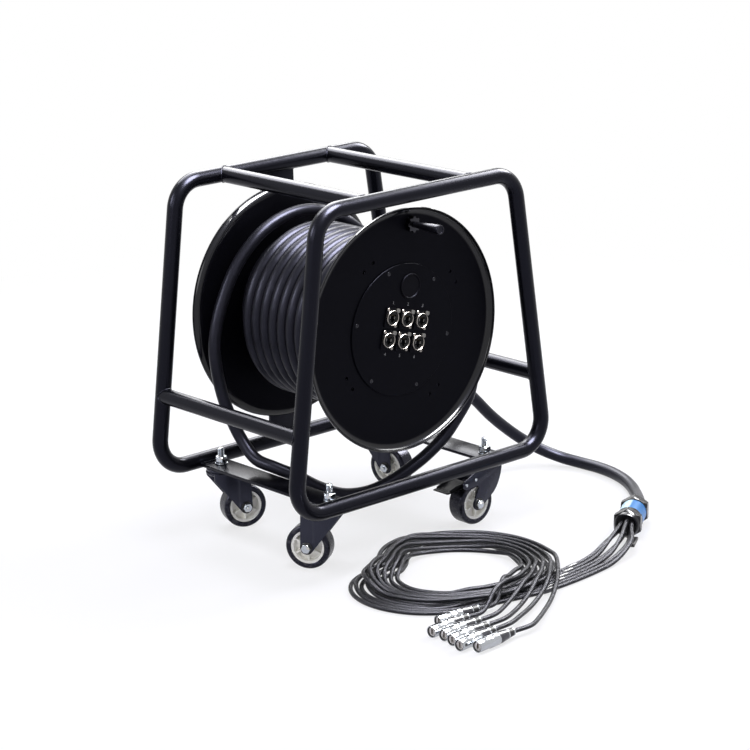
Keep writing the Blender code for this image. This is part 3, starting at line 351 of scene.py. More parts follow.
@dataclass(frozen=True)
class CableJacket(Finish):
    """An extruded jacket: faint runs along it, painted in its colour as lighter and darker sheen streaks, soft scuffs
    and a trace of dust.
    """

    def vary(self, graph: Graph) -> dict[str, Wire]:
        """Runs along the cable, painted in the colour as sheen streaks and real in roughness and relief, scuffs and
        dust.
        """
        wrap = graph.wrap()
        lines = graph.noise(1, 3, graph.stretched((26, 3, 1), wrap))
        scuffs = graph.mask(graph.noise(55, 5), 0.55, 0.75)
        fine = graph.noise(900, 2)
        # Painted sheen: the colour streaks lighter and darker along the cable.
        colour = graph.mix(lines, self.shade(0.75), self.shade(1.3))
        colour = graph.mix(scuffs * 0.35, colour, self.shade(1.9))
        rough = scuffs * 0.12 + lines * 0.1 + (self.roughness - 0.08)
        relief = graph.bump(lines * 0.6 + fine * 0.4, 0.06 * MM)
        return {"Base Color": colour, "Roughness": rough, "Normal": relief}


@dataclass(frozen=True)
class BraidedSleeve(Finish):
    """A fine braid: two sets of yarns that wind round the tail in opposite directions."""

    yarns: int = 12
    pitch: float = 9 * MM

    def vary(self, graph: Graph) -> dict[str, Wire]:
        """Two sets of yarns that cross over and under each other, with painted shade in the grooves between them and
        painted highlights on their crowns.
        """
        turn, run, _ = graph.axes(graph.wrap())
        angle = turn * (2 * math.pi * self.yarns)
        lay = run * (2 * math.pi * self.yarns / (2 * self.pitch))
        left = (angle + lay).sine() * 0.5 + 0.5
        right = (angle - lay).sine() * 0.5 + 0.5
        braid = left.math("MAXIMUM", left, right)
        fade = graph.noise(30, 3)
        # Painted shade and highlight: the colour runs from dark in the grooves between the yarns to light on their
        # crowns, with a random fade.
        colour = graph.mix(braid * 0.7 + fade * 0.3, self.shade(0.45), self.shade(1.5))
        rough = (1 - braid) * 0.25 + (self.roughness - 0.05)
        return {"Base Color": colour, "Roughness": rough, "Normal": graph.bump(braid, 0.22 * MM)}


class Work(Enum):
    """How a bare metal surface was made."""

    TURNED = "turned"
    PLATED = "plated"
    CAST = "cast"


@dataclass(frozen=True)
class BareMetal(Finish):
    """Bare or plated metal, with the marks of how it was made."""

    metallic: float = 1.0
    work: Work = Work.PLATED

    def vary(self, graph: Graph) -> dict[str, Wire]:
        """Tool marks or plating bloom, and fingerprints in the gloss."""
        bloom = graph.noise(70, 3)
        prints = graph.mask(graph.noise(120, 4), 0.45, 0.7)
        if self.work is Work.TURNED:
            marks, depth = graph.noise(1, 2, graph.stretched((2, 2600, 1), graph.wrap())), 0.03
        elif self.work is Work.CAST:
            marks, depth = graph.noise(800, 3), 0.04
        else:
            marks, depth = graph.noise(300, 2), 0.012
        colour = graph.mix(bloom, self.shade(0.82), self.shade(1.12))
        rough = prints * 0.1 + marks * 0.1 + (self.roughness - 0.08)
        return {"Base Color": colour, "Roughness": rough, "Normal": graph.bump(marks, depth * MM)}


@dataclass(frozen=True)
class YellowedZinc(BareMetal):
    """Passivated zinc, blue-white with a straw bloom."""

    def vary(self, graph: Graph) -> dict[str, Wire]:
        """A straw bloom over the bright plate."""
        varied = super().vary(graph)
        straw = graph.mask(graph.noise(150, 3), 0.5, 0.72)
        varied["Base Color"] = graph.mix(straw * 0.45, varied["Base Color"], STRAW)
        return varied


@dataclass(frozen=True)
class Moulded(Finish):
    """Moulded plastic or rubber with a spark-eroded grain."""

    grain: float = 1400.0
    relief: float = 0.03

    def vary(self, graph: Graph) -> dict[str, Wire]:
        """Fine grain, faint flow marks and handling shine."""
        grain = graph.noise(self.grain, 2)
        flow = graph.noise(25, 3)
        colour = graph.mix(flow, self.shade(0.85), self.shade(1.18))
        rough = flow * 0.14 + grain * 0.06 + (self.roughness - 0.1)
        return {"Base Color": colour, "Roughness": rough, "Normal": graph.bump(grain, self.relief * MM)}


@dataclass(frozen=True)
class Tyre(Finish):
    """A caster tyre's tread: fine rings from the mould and pale floor dust."""

    def vary(self, graph: Graph) -> dict[str, Wire]:
        """Mould rings and dust."""
        dust = graph.mask(graph.noise(90, 5), 0.5, 0.75)
        grain = graph.noise(900, 2)
        colour = graph.mix(dust * 0.3, self.colour, FLOOR_DUST)
        rough = dust * 0.2 + (self.roughness - 0.05)
        return {"Base Color": colour, "Roughness": rough, "Normal": graph.bump(grain, 0.05 * MM)}


@dataclass(frozen=True)
class Film(Finish):
    """A plain film round the gland, strong blue and pale blue along one side."""

    pale: Colour = (0.50, 0.71, 0.88)
    turned: float = 0.9 + math.pi
    edge: tuple[float, float] = (0.74, 0.86)

    def vary(self, graph: Graph) -> dict[str, Wire]:
        """The pale side's soft edge on the blue, at a fixed turn round the gland."""
        turn = graph.axes(graph.wrap())[0]
        share = graph.mask((turn * (2 * math.pi) + self.turned).sine(), *self.edge)
        return {"Base Color": graph.mix(share, self.colour, self.pale),
                "Roughness": graph.noise(200, 3) * 0.12 + (self.roughness - 0.06)}


COOL = (0.70, 0.71, 1.0)
FRAME_PAINT = PowderCoat("frame_black_powder", (0.0020, 0.0021, 0.0034), 0.25, specular=0.15, slot=Slot.FRAME,
                         tint=COOL, peel=0.004, grain=500)
DISC_PAINT = RimmedCoat("disc_satin_powder", (0.0015, 0.0015, 0.0026), 0.38, specular=0.040, slot=Slot.DISC,
                        tint=COOL, peel=0.02, grain=1100)
CASTER_PAINT = PowderCoat("caster_black_zinc", (0.0110, 0.0120, 0.0175), 0.26, specular=0.38, slot=Slot.FRAME,
                          tint=COOL, dust=0.2)
PEDAL_PAINT = PowderCoat("pedal_satin_black", (0.0030, 0.0030, 0.0042), 0.45, specular=0.05, slot=Slot.FRAME)
WELD = PowderCoat("painted_weld", (0.0026, 0.0027, 0.0042), 0.28, specular=0.2, slot=Slot.FRAME, tint=COOL,
                  peel=0.04, grain=420)
TURNED = BareMetal("turned_steel", (0.42, 0.42, 0.43), 0.32, slot=Slot.STEEL, work=Work.TURNED)
ZINC = YellowedZinc("bright_zinc_plate", (0.46, 0.49, 0.54), 0.17, slot=Slot.ZINC)
NICKEL = BareMetal("nickel_shell", (0.44, 0.455, 0.48), 0.13, slot=Slot.NICKEL)
CAST_NICKEL = BareMetal("cast_nickel_ring", (0.27, 0.25, 0.235), 0.26, slot=Slot.NICKEL, work=Work.CAST)
LATCH_METAL = BareMetal("satin_latch", (0.17, 0.165, 0.16), 0.36, slot=Slot.NICKEL, work=Work.CAST)
BLACK_CAST = BareMetal("black_cast_collar", (0.035, 0.035, 0.041), 0.18, slot=Slot.STEEL, work=Work.CAST)
GLAND_METAL = BareMetal("dark_gland_metal", (0.010, 0.010, 0.013), 0.20, metallic=0.3, specular=0.35,
                        slot=Slot.GLAND, work=Work.CAST)
BLACK_PLASTIC = Moulded("black_moulding", (0.0020, 0.0018, 0.0026), 0.42, specular=0.05, tint=COOL,
                        slot=Slot.CAP)
GRIP_PLASTIC = Moulded("black_grip", (0.0035, 0.0035, 0.0050), 0.28, specular=0.18, tint=COOL, slot=Slot.GRIP)
INSERT_PLASTIC = Moulded("jack_insert", (0.0030, 0.0030, 0.0040), 0.35, specular=0.14, slot=Slot.CAP)
HUB_PLASTIC = Moulded("cream_hub", (0.80, 0.79, 0.74), 0.38, specular=0.25, grain=700)
SEAL_PLASTIC = Moulded("bearing_seal", (0.010, 0.010, 0.012), 0.35, specular=0.3)
BOOT_RUBBER = Moulded("plug_boot", (0.014, 0.014, 0.017), 0.40, specular=0.4, slot=Slot.NICKEL)
SMOKY_PLASTIC = Moulded("smoky_plug_body", (0.050, 0.050, 0.060), 0.2, specular=0.3, slot=Slot.NICKEL,
                        relief=0.01)
SLEEVE = Moulded("shrink_sleeve", (0.055, 0.055, 0.065), 0.24, specular=0.35, slot=Slot.TAIL)
CLEAR_PLUG = Moulded("clear_tongue", (0.50, 0.48, 0.47), 0.25, slot=Slot.NICKEL, relief=0.01)
# Painted shade: the contacts are darkened far below gold's own colour, as they sit deep in the socket and plug
# mouths.
SHADED_GOLD = BareMetal("gold_contact_painted_shade", (0.13, 0.10, 0.06), 0.30, slot=Slot.NICKEL)
TRUNK_JACKET = CableJacket("trunk_jacket_rubber", (0.0095, 0.0095, 0.0130), 0.36, specular=0.15,
                           tint=COOL, slot=Slot.TRUNK)
TAIL_JACKET = BraidedSleeve("tail_braid", (0.0048, 0.0048, 0.0062), 0.22, specular=0.22, tint=(0.85, 0.85, 1),
                            slot=Slot.TAIL)
TYRE = Tyre("tyre_tread", (0.0075, 0.0075, 0.0105), 0.32, specular=0.25, tint=COOL, slot=Slot.TYRE)
BAND = Film("blue_band", (0.006, 0.15, 0.44), 0.3, specular=0.2, slot=Slot.GLAND)
PRINT = Moulded("white_print", (0.21, 0.21, 0.22), 0.55, slot=Slot.DISC, relief=0.005)


# Meshes


def closed(name: str, mesh: bpy.types.Mesh, sharp: float = 35.0, bevel: float = 0.0) -> bpy.types.Mesh:
    """Merge a mesh's doubles, turn its faces outward, soften its edges and shade it.

    Args:
        name: the mesh's name.
        mesh: the mesh.
        sharp: the angle in degrees from which an edge stays sharp.
        bevel: the width that its sharp edges are rounded by.

    Returns:
        The same mesh.
    """
    bm = bmesh.new()
    bm.from_mesh(mesh)
    bmesh.ops.remove_doubles(bm, verts=bm.verts, dist=1e-6)
    bmesh.ops.recalc_face_normals(bm, faces=bm.faces)
    if bevel:
        least = math.radians(sharp)
        edges = [edge for edge in bm.edges if edge.is_manifold and edge.calc_face_angle() > least]
        bmesh.ops.bevel(bm, geom=edges, offset=bevel, segments=2, profile=0.6, affect="EDGES",
                        clamp_overlap=True)
    bm.to_mesh(mesh)
    bm.free()
    mesh.name = name
    mesh.shade_smooth()
    mesh.set_sharp_from_angle(angle=math.radians(sharp))
    return mesh


def loft(name: str, rows: np.ndarray, looped: bool = False, sharp: float = 35.0) -> bpy.types.Mesh:
    """Skin rows of points, each a closed ring, and map the way round and along in the UV layer wrap.

    Args:
        name: the mesh's name.
        rows: the rings' points, as an array of rings by points by 3.
        looped: whether the last ring joins the first. The ends are closed otherwise.
        sharp: the angle in degrees from which an edge stays sharp.

    Returns:
        The mesh.
    """
    count, sides = rows.shape[:2]
    leaps = np.linalg.norm(np.roll(rows[:, 0], -1, 0) - rows[:, 0], axis=1)
    runs = np.concatenate([[0], np.cumsum(leaps)])
    faces, wraps = [], []
    for row in range(count if looped else count - 1):
        after = (row + 1) % count
        for side in range(sides):
            beside = (side + 1) % sides
            faces.append((row * sides + side, row * sides + beside, after * sides + beside,
                          after * sides + side))
            low, high = side / sides, (side + 1) / sides
            wraps += [(low, runs[row]), (high, runs[row]), (high, runs[row + 1]), (low, runs[row + 1])]
    if not looped:
        for first in (0, (count - 1) * sides):
            faces.append(tuple(range(first, first + sides)))
            wraps += [(0, 0)] * sides
    mesh = bpy.data.meshes.new(name)
    mesh.from_pydata(rows.reshape(-1, 3), [], faces)
    mesh.uv_layers.new(name="wrap").data.foreach_set("uv", np.array(wraps, float).ravel())
    return closed(name, mesh, sharp)


def lathe(name: str, profile: Iterable[Place], steps: int = 64, looped: bool = False,
          sharp: float = 35.0) -> bpy.types.Mesh:
    """Turn a profile round Z.

    Args:
        name: the mesh's name.
        profile: pairs of radius and height.
        steps: how many sides the turned shape has.
        looped: whether the profile is a ring's closed section.
        sharp: the angle in degrees from which an edge stays sharp.

    Returns:
        The mesh.
    """
    turn = np.arange(steps) * 2 * math.pi / steps
    ring = np.stack([np.cos(turn), np.sin(turn), np.zeros(steps)], 1)
    rows = np.array([ring * radius + (0, 0, height) for radius, height in profile])
    return loft(name, rows, looped, sharp)


def ring(name: str, section: Iterable[Place], steps: int = 64) -> bpy.types.Mesh:
    """Turn a closed section round Z."""
    return lathe(name, section, steps, looped=True)


def prism(name: str, outline: Iterable[Place], low: float, high: float, bevel: float = 0.0) -> bpy.types.Mesh:
    """Extrude an outline along Z.

    Args:
        name: the mesh's name.
        outline: pairs of x and y.
        low: where it starts.
        high: where it ends.
        bevel: the width that its edges are rounded by.

    Returns:
        The mesh.
    """
    flat = np.array(list(outline), float)
    rows = np.array([np.column_stack([flat, np.full(len(flat), height)]) for height in (low, high)])
    mesh = loft(name, rows)
    return closed(name, mesh, bevel=bevel) if bevel else mesh


def offsets(start: Place, *steps: Place) -> Outline:
    """Points of an outline, each some millimetres across and up from a start."""
    return [(start[0] + across * MM, start[1] + up * MM) for across, up in steps]


def rectangle(left: float, right: float, low: float, high: float) -> Outline:
    """A rectangle's corners, from its sides."""
    return [(left, low), (right, low), (right, high), (left, high)]


def mirrored(half: Outline) -> Outline:
    """The lower half of a ring's closed section, from its upper half."""
    return [(radius, -height) for radius, height in reversed(half)]


def circle(radius: float, sides: int, centre: Place = (0, 0), start: float = 0.0,
           sweep: float = 2 * math.pi) -> Outline:
    """Points round a circle or along an arc of it.

    Args:
        radius: the circle's radius.
        sides: how many points there are.
        centre: its middle.
        start: where the arc starts, in radians.
        sweep: how far it goes round, in radians.

    Returns:
        The points.
    """
    span = sides if math.isclose(sweep, 2 * math.pi) else sides - 1
    return [(centre[0] + radius * math.cos(start + sweep * step / span),
             centre[1] + radius * math.sin(start + sweep * step / span)) for step in range(sides)]


def rounded(corners: Sequence[Place], radius: float, steps: int = 6) -> Outline:
    """Round each corner of a flat outline.

    Args:
        corners: the outline's corners.
        radius: the arcs' radius.
        steps: how many runs each arc has.

    Returns:
        The rounded outline's points.
    """
    points = []
    for index, corner in enumerate(corners):
        here = Vector(corner)
        back = (Vector(corners[index - 1]) - here).normalized()
        ahead = (Vector(corners[(index + 1) % len(corners)]) - here).normalized()
        half = back.angle(ahead) / 2
        centre = here + (back + ahead).normalized() * radius / math.sin(half)
        first = here + back * radius / math.tan(half) - centre
        last = here + ahead * radius / math.tan(half) - centre
        sweep = first.angle(last) * (1 if first.cross(last) > 0 else -1)
        start = math.atan2(first.y, first.x)
        points += circle(radius, steps + 1, centre, start, sweep)
    return points


def oblong(width: float, height: float, radius: float, centre: Place = (0, 0), steps: int = 5) -> Outline:
    """A rectangle's outline with rounded corners.

    Args:
        width: its size across.
        height: its size upward.
        radius: its corners' radius.
        centre: its middle.
        steps: how many runs each corner has.

    Returns:
        The outline's points.
    """
    x, y = centre
    return rounded(rectangle(x - width / 2, x + width / 2, y - height / 2, y + height / 2), radius, steps)


def sweep(name: str, points: Iterable[Place], radius: float | Sequence[float], sides: int = 16,
          looped: bool = False) -> bpy.types.Mesh:
    """Run a round tube along a line, without twist.

    Args:
        name: the mesh's name.
        points: the line.
        radius: the tube's radius, or one for each point.
        sides: how many sides it has.
        looped: whether the line's end joins its start.

    Returns:
        The mesh.
    """
    line = np.array([tuple(point) for point in points], float)
    if looped:
        along = np.roll(line, -1, 0) - np.roll(line, 1, 0)
    else:
        along = np.gradient(line, axis=0)
    along /= np.linalg.norm(along, axis=1)[:, None]
    side = np.cross(along[0], (0, 0, 1) if abs(along[0][2]) < 0.9 else (1, 0, 0))
    radii = np.broadcast_to(radius, len(line))
    turn = np.arange(sides) * 2 * math.pi / sides
    rows = []
    for point, way, size in zip(line, along, radii):
        side = side - way * side.dot(way)
        side /= np.linalg.norm(side)
        other = np.cross(way, side)
        rows.append(point + size * (np.outer(np.cos(turn), side) + np.outer(np.sin(turn), other)))
    return loft(name, np.array(rows), looped)


def merged(name: str, *meshes: bpy.types.Mesh) -> bpy.types.Mesh:
    """Put several meshes into one and clear the others away.

    Args:
        name: the new mesh's name.
        meshes: the meshes.

    Returns:
        The new mesh.
    """
    bm = bmesh.new()
    for mesh in meshes:
        bm.from_mesh(mesh)
        bpy.data.meshes.remove(mesh)
    whole = bpy.data.meshes.new(name)
    bm.to_mesh(whole)
    bm.free()
    return whole


def moved(mesh: bpy.types.Mesh, place: Place = (0, 0, 0), axis: str = "Z",
          degrees: float = 0.0) -> bpy.types.Mesh:
    """Turn a mesh about an axis, then shift it.

    Args:
        mesh: the mesh, which is changed itself.
        place: how far it goes along each axis.
        axis: the axis that it turns about.
        degrees: how far it turns.

    Returns:
        The same mesh.
    """
    mesh.transform(Matrix.Translation(Vector(place)) @ Matrix.Rotation(math.radians(degrees), 4, axis))
    return mesh


def joggled(mesh: bpy.types.Mesh, start: float, run: float, rise: float) -> bpy.types.Mesh:
    """Press a step into a plate that stands on Y, so that the part below start in X lies further out.

    Args:
        mesh: the plate.
        start: where along X the step ends.
        run: how wide the step is.
        rise: how far the plate is moved, along Y, before the step.

    Returns:
        The pressed plate.
    """
    bm = bmesh.new()
    bm.from_mesh(mesh)
    for part in range(7):
        spot = start - run * part / 6
        everything = bm.verts[:] + bm.edges[:] + bm.faces[:]
        bmesh.ops.bisect_plane(bm, geom=everything, plane_co=(spot, 0, 0), plane_no=(1, 0, 0), dist=1e-7)
    for vertex in bm.verts:
        share = min(1.0, max(0.0, (start - vertex.co.x) / run))
        vertex.co.y += rise * share * share * (3 - 2 * share)
    bm.to_mesh(mesh)
    bm.free()
    return mesh


def bored(mesh: bpy.types.Mesh, *cutters: bpy.types.Mesh) -> bpy.types.Mesh:
    """Cut shapes out of a mesh.

    Args:
        mesh: the mesh that is cut.
        cutters: the shapes to take away, none of which touch.

    Returns:
        The cut mesh.
    """
    item = bpy.data.objects.new("blank", mesh)
    tool = bpy.data.objects.new("tool", merged("tool", *cutters))
    for thing in (item, tool):
        bpy.context.collection.objects.link(thing)
    modifier = item.modifiers.new("cut", "BOOLEAN")
    modifier.object, modifier.operation = tool, "DIFFERENCE"
    made = bpy.data.meshes.new_from_object(item.evaluated_get(bpy.context.evaluated_depsgraph_get()))
    for thing in (item, tool):
        bpy.data.objects.remove(thing)
    return closed(mesh.name, made)


def hexagon(name: str, width: float, low: float, high: float, both: bool = True) -> bpy.types.Mesh:
    """A hex nut or bolt head with its corners turned down.

    Args:
        name: the mesh's name.
        width: its size across flats.
        low: where it starts.
        high: where it ends.
        both: whether the lower end is turned down as well as the upper.

    Returns:
        The mesh.
    """
    sides, depth, steps = 48, width * 0.09, 3
    turn = np.arange(sides) * 2 * math.pi / sides
    hexed = width / 2 / np.cos(turn % (math.pi / 3) - math.pi / 6)
    ends = [(low + depth * step / steps, step / steps if both else 1) for step in range(steps + 1)]
    ends += [(high - depth * step / steps, step / steps) for step in range(steps, -1, -1)]
    rows = []
    for height, share in ends:
        radius = np.minimum(hexed, width / 2 * (0.95 + 0.21 * share))
        rows.append(np.column_stack([radius * np.cos(turn), radius * np.sin(turn), np.full(sides, height)]))
    return loft(name, np.array(rows), sharp=28)


def smooth_route(points: Iterable[Place], spacing: float) -> list[tuple]:
    """Even points on a smooth curve through the given ones.

    Args:
        points: the points to pass through.
        spacing: the distance between the new ones.

    Returns:
        The new points.
    """
    knots = [np.array(point, float) for point in points]
    knots = [2 * knots[0] - knots[1]] + knots + [2 * knots[-1] - knots[-2]]
    fine = []
    for before, here, after, last in zip(knots, knots[1:], knots[2:], knots[3:]):
        for step in range(16):
            t = step / 16
            fine.append(0.5 * ((2 * here) + (after - before) * t
                               + (2 * before - 5 * here + 4 * after - last) * t * t
                               + (3 * here - before - 3 * after + last) * t ** 3))
    fine.append(knots[-2])
    length = float(np.linalg.norm(np.diff(fine, axis=0), axis=1).sum())
    return along_line(fine, np.linspace(0, length, max(2, round(length / spacing) + 1)))


def along_line(points: Iterable[Place], distances: Iterable[float]) -> list[tuple]:
    """Places on a line of straight runs.

    Args:
        points: the line's points.
        distances: how far along it each place is.

    Returns:
        The places.
    """
    line = np.array(points)
    run = np.concatenate([[0], np.cumsum(np.linalg.norm(np.diff(line, axis=0), axis=1))])
    return [tuple(np.interp(distance, run, line[:, axis]) for axis in range(3)) for distance in distances]


def place(name: str, mesh: bpy.types.Mesh, finish: Finish, body: str, *stands_for: str,
          matrix: Matrix | None = None) -> bpy.types.Object:
    """Put a piece in the scene on its body.

    Args:
        name: the piece's name.
        mesh: its mesh, in the model's frame unless there is a matrix.
        finish: its finish.
        body: the body that carries it.
        stands_for: the model's nodes that it shows instead of.
        matrix: its place, where its mesh isn't in the model's frame.

    Returns:
        The piece.
    """
    item = bpy.data.objects.new(name, mesh)
    bpy.context.collection.objects.link(item)
    if not mesh.materials:
        mesh.materials.append(finish.material())
    if matrix is not None:
        item.matrix_world = matrix
    body = body.value if isinstance(body, Enum) else body
    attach(item, body)
    if stands_for:
        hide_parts(*stands_for)
    log.info("%s in %s, on %s", name, finish.name, body)
    return item


def shift(x: float = 0.0, y: float = 0.0, z: float = 0.0) -> Matrix:
    """A matrix that shifts."""
    return Matrix.Translation((x, y, z))


# The tube frame


@dataclass
class TubeFrame:
    """Two bent hoops, the rails between them, the caster bars and the upright that carries the drum."""

    tube: float = 12.5 * MM
    top_width: float = 396 * MM
    bottom_width: float = 521 * MM
    bottom: float = 108.5 * MM
    height: float = 451 * MM
    bend: float = 46 * MM
    spacing: float = 333 * MM
    top_rails: float = 215 * MM
    side_rails: float = 229.5 * MM
    bar_x: float = 162.5 * MM
    bar_width: float = 45 * MM
    bar_top: float = 107 * MM
    sheet: float = 5 * MM
    upright_width: float = 66 * MM
    edge: float = 0.7 * MM
    weld: float = 0.95 * MM
    sides: int = 36

    def build(self) -> None:
        """Make every piece of the frame."""
        self.hoops()
        self.rails()
        self.bars()
        self.upright()

    @property
    def top(self) -> float:
        """The height of the hoops' top tubes."""
        return self.bottom + self.height

    def end_y(self, side: int) -> float:
        """Where the front (-1) or rear (1) hoop stands."""
        return MIDDLE_Y + side * self.spacing / 2

    def post_x(self, height: float) -> float:
        """How far a hoop's post is from the middle at a height."""
        share = (height - self.bottom) / self.height
        return (self.bottom_width + (self.top_width - self.bottom_width) * share) / 2

    def hoops(self) -> None:
        """The two hoops, each one bent tube."""
        wide, narrow = self.bottom_width / 2, self.top_width / 2
        corners = [(-narrow, self.top), (narrow, self.top), (wide, self.bottom), (-wide, self.bottom)]
        outline = rounded(corners, self.bend, 14)
        for label, end in ENDS:
            name = f"{label}_hoop"
            points = [(x, self.end_y(end), z) for x, z in outline]
            tube = sweep(name, points, self.tube, self.sides, looped=True)
            place(f"{name}_tube", tube, FRAME_PAINT, Body.FRAME, name)

    def saddle(self, name: str, centre: Place, post: Place, side: int) -> None:
        """The ring of weld where a rail meets a hoop.

        Args:
            name: the piece's name.
            centre: where the rail's axis meets the hoop's.
            post: the way the hoop's tube runs there.
            side: -1 at the front hoop and 1 at the rear one.
        """
        steps = 96
        run = Vector(post).normalized()
        across = run.cross(Vector((0, 1, 0)))
        points, radii = [], []
        for step in range(steps):
            angle = 2 * math.pi * step / steps
            over = math.sin(angle)
            reach = math.sqrt(max(1.03 - over * over, 0.0)) * self.tube
            rim = (run * math.cos(angle) + across * over) * (self.tube + 0.3 * self.weld)
            points.append(Vector(centre) + rim - Vector((0, side * reach, 0)))
            radii.append(self.weld * (1 + 0.10 * math.sin(angle * 20)))
        place(name, sweep(name, points, radii, 10, looped=True), WELD, Body.FRAME)

    def bead(self, name: str, start: Place, end: Place) -> None:
        """A straight bead of weld with its ripples.

        Args:
            name: the piece's name.
            start: where it starts.
            end: where it ends.
        """
        steps = 40
        line = [Vector(start).lerp(Vector(end), step / steps) for step in range(steps + 1)]
        radii = [self.weld * (0.9 + 0.16 * math.sin(step * 1.5)) * (0.6 if step in (0, steps) else 1)
                 for step in range(steps + 1)]
        place(name, sweep(name, line, radii, 10), WELD, Body.FRAME)

    def rails(self) -> None:
        """The two top rails and two side rails, welded at both ends."""
        for side, sign in SIDES:
            lean = (sign * (self.post_x(self.top) - self.post_x(self.bottom)), 0, self.height)
            for kind, x, z, run in (("top", sign * self.top_rails / 2, self.top, (1, 0, 0)),
                                    ("side", sign * self.post_x(self.side_rails), self.side_rails, lean)):
                name = f"{kind}_rail_{side}"
                ends = [(x, self.end_y(end) - end * self.tube * 0.2, z) for _, end in ENDS]
                tube = sweep(name, ends, self.tube, self.sides)
                place(f"{name}_tube", tube, FRAME_PAINT, Body.FRAME, name)
                for label, end in ENDS:
                    self.saddle(f"{name}_weld_{label}", (x, self.end_y(end), z), run, end)

    def bars(self) -> None:
        """The flat bars that carry the casters."""
        under = self.bar_top - self.sheet
        for side, sign in SIDES:
            name = f"caster_bar_{side}"
            left, right = (sign * self.bar_x + way * self.bar_width / 2 for way in (-1, 1))
            inset = 0.3 * self.tube
            outline = rectangle(left, right, self.end_y(-1) + inset, self.end_y(1) - inset)
            mesh = prism(name, outline, under, self.bar_top, self.edge)
            place(f"{name}_flat", mesh, FRAME_PAINT, Body.FRAME, name)
            for label, end in ENDS:
                for part, level, reach in (("top", self.bar_top + 0.8 * MM, 1.02), ("under", under, 0.86)):
                    y = self.end_y(end) - end * self.tube * reach
                    self.bead(f"{name}_weld_{label}_{part}", (left, y, level), (right, y, level))

    def upright(self) -> None:
        """The flat upright behind the drum."""
        half, deep, y = self.upright_width / 2, self.sheet / 2, self.end_y(1)
        outline = rectangle(-half, half, y - deep, y + deep)
        mesh = prism("upright", outline, self.bottom + 0.3 * self.tube, self.top - 0.3 * self.tube, self.edge)
        place("bearing_upright_flat", mesh, FRAME_PAINT, Body.FRAME, "bearing_upright")
        for part, level in (("low", self.bottom + 0.98 * self.tube), ("high", self.top - 0.98 * self.tube)):
            for label, face in ENDS:
                depth = y + face * (deep + 0.6 * MM)
                self.bead(f"upright_weld_{part}_{label}", (-half, depth, level), (half, depth, level))


# The casters


class Corner(Enum):
    """The four casters: their place, and the way each one trails, in degrees."""

    FRONT_LEFT = ("front_left", -1, -1, 122)
    FRONT_RIGHT = ("front_right", 1, -1, 180)
    REAR_LEFT = ("rear_left", -1, 1, -19)
    REAR_RIGHT = ("rear_right", 1, 1, -78)


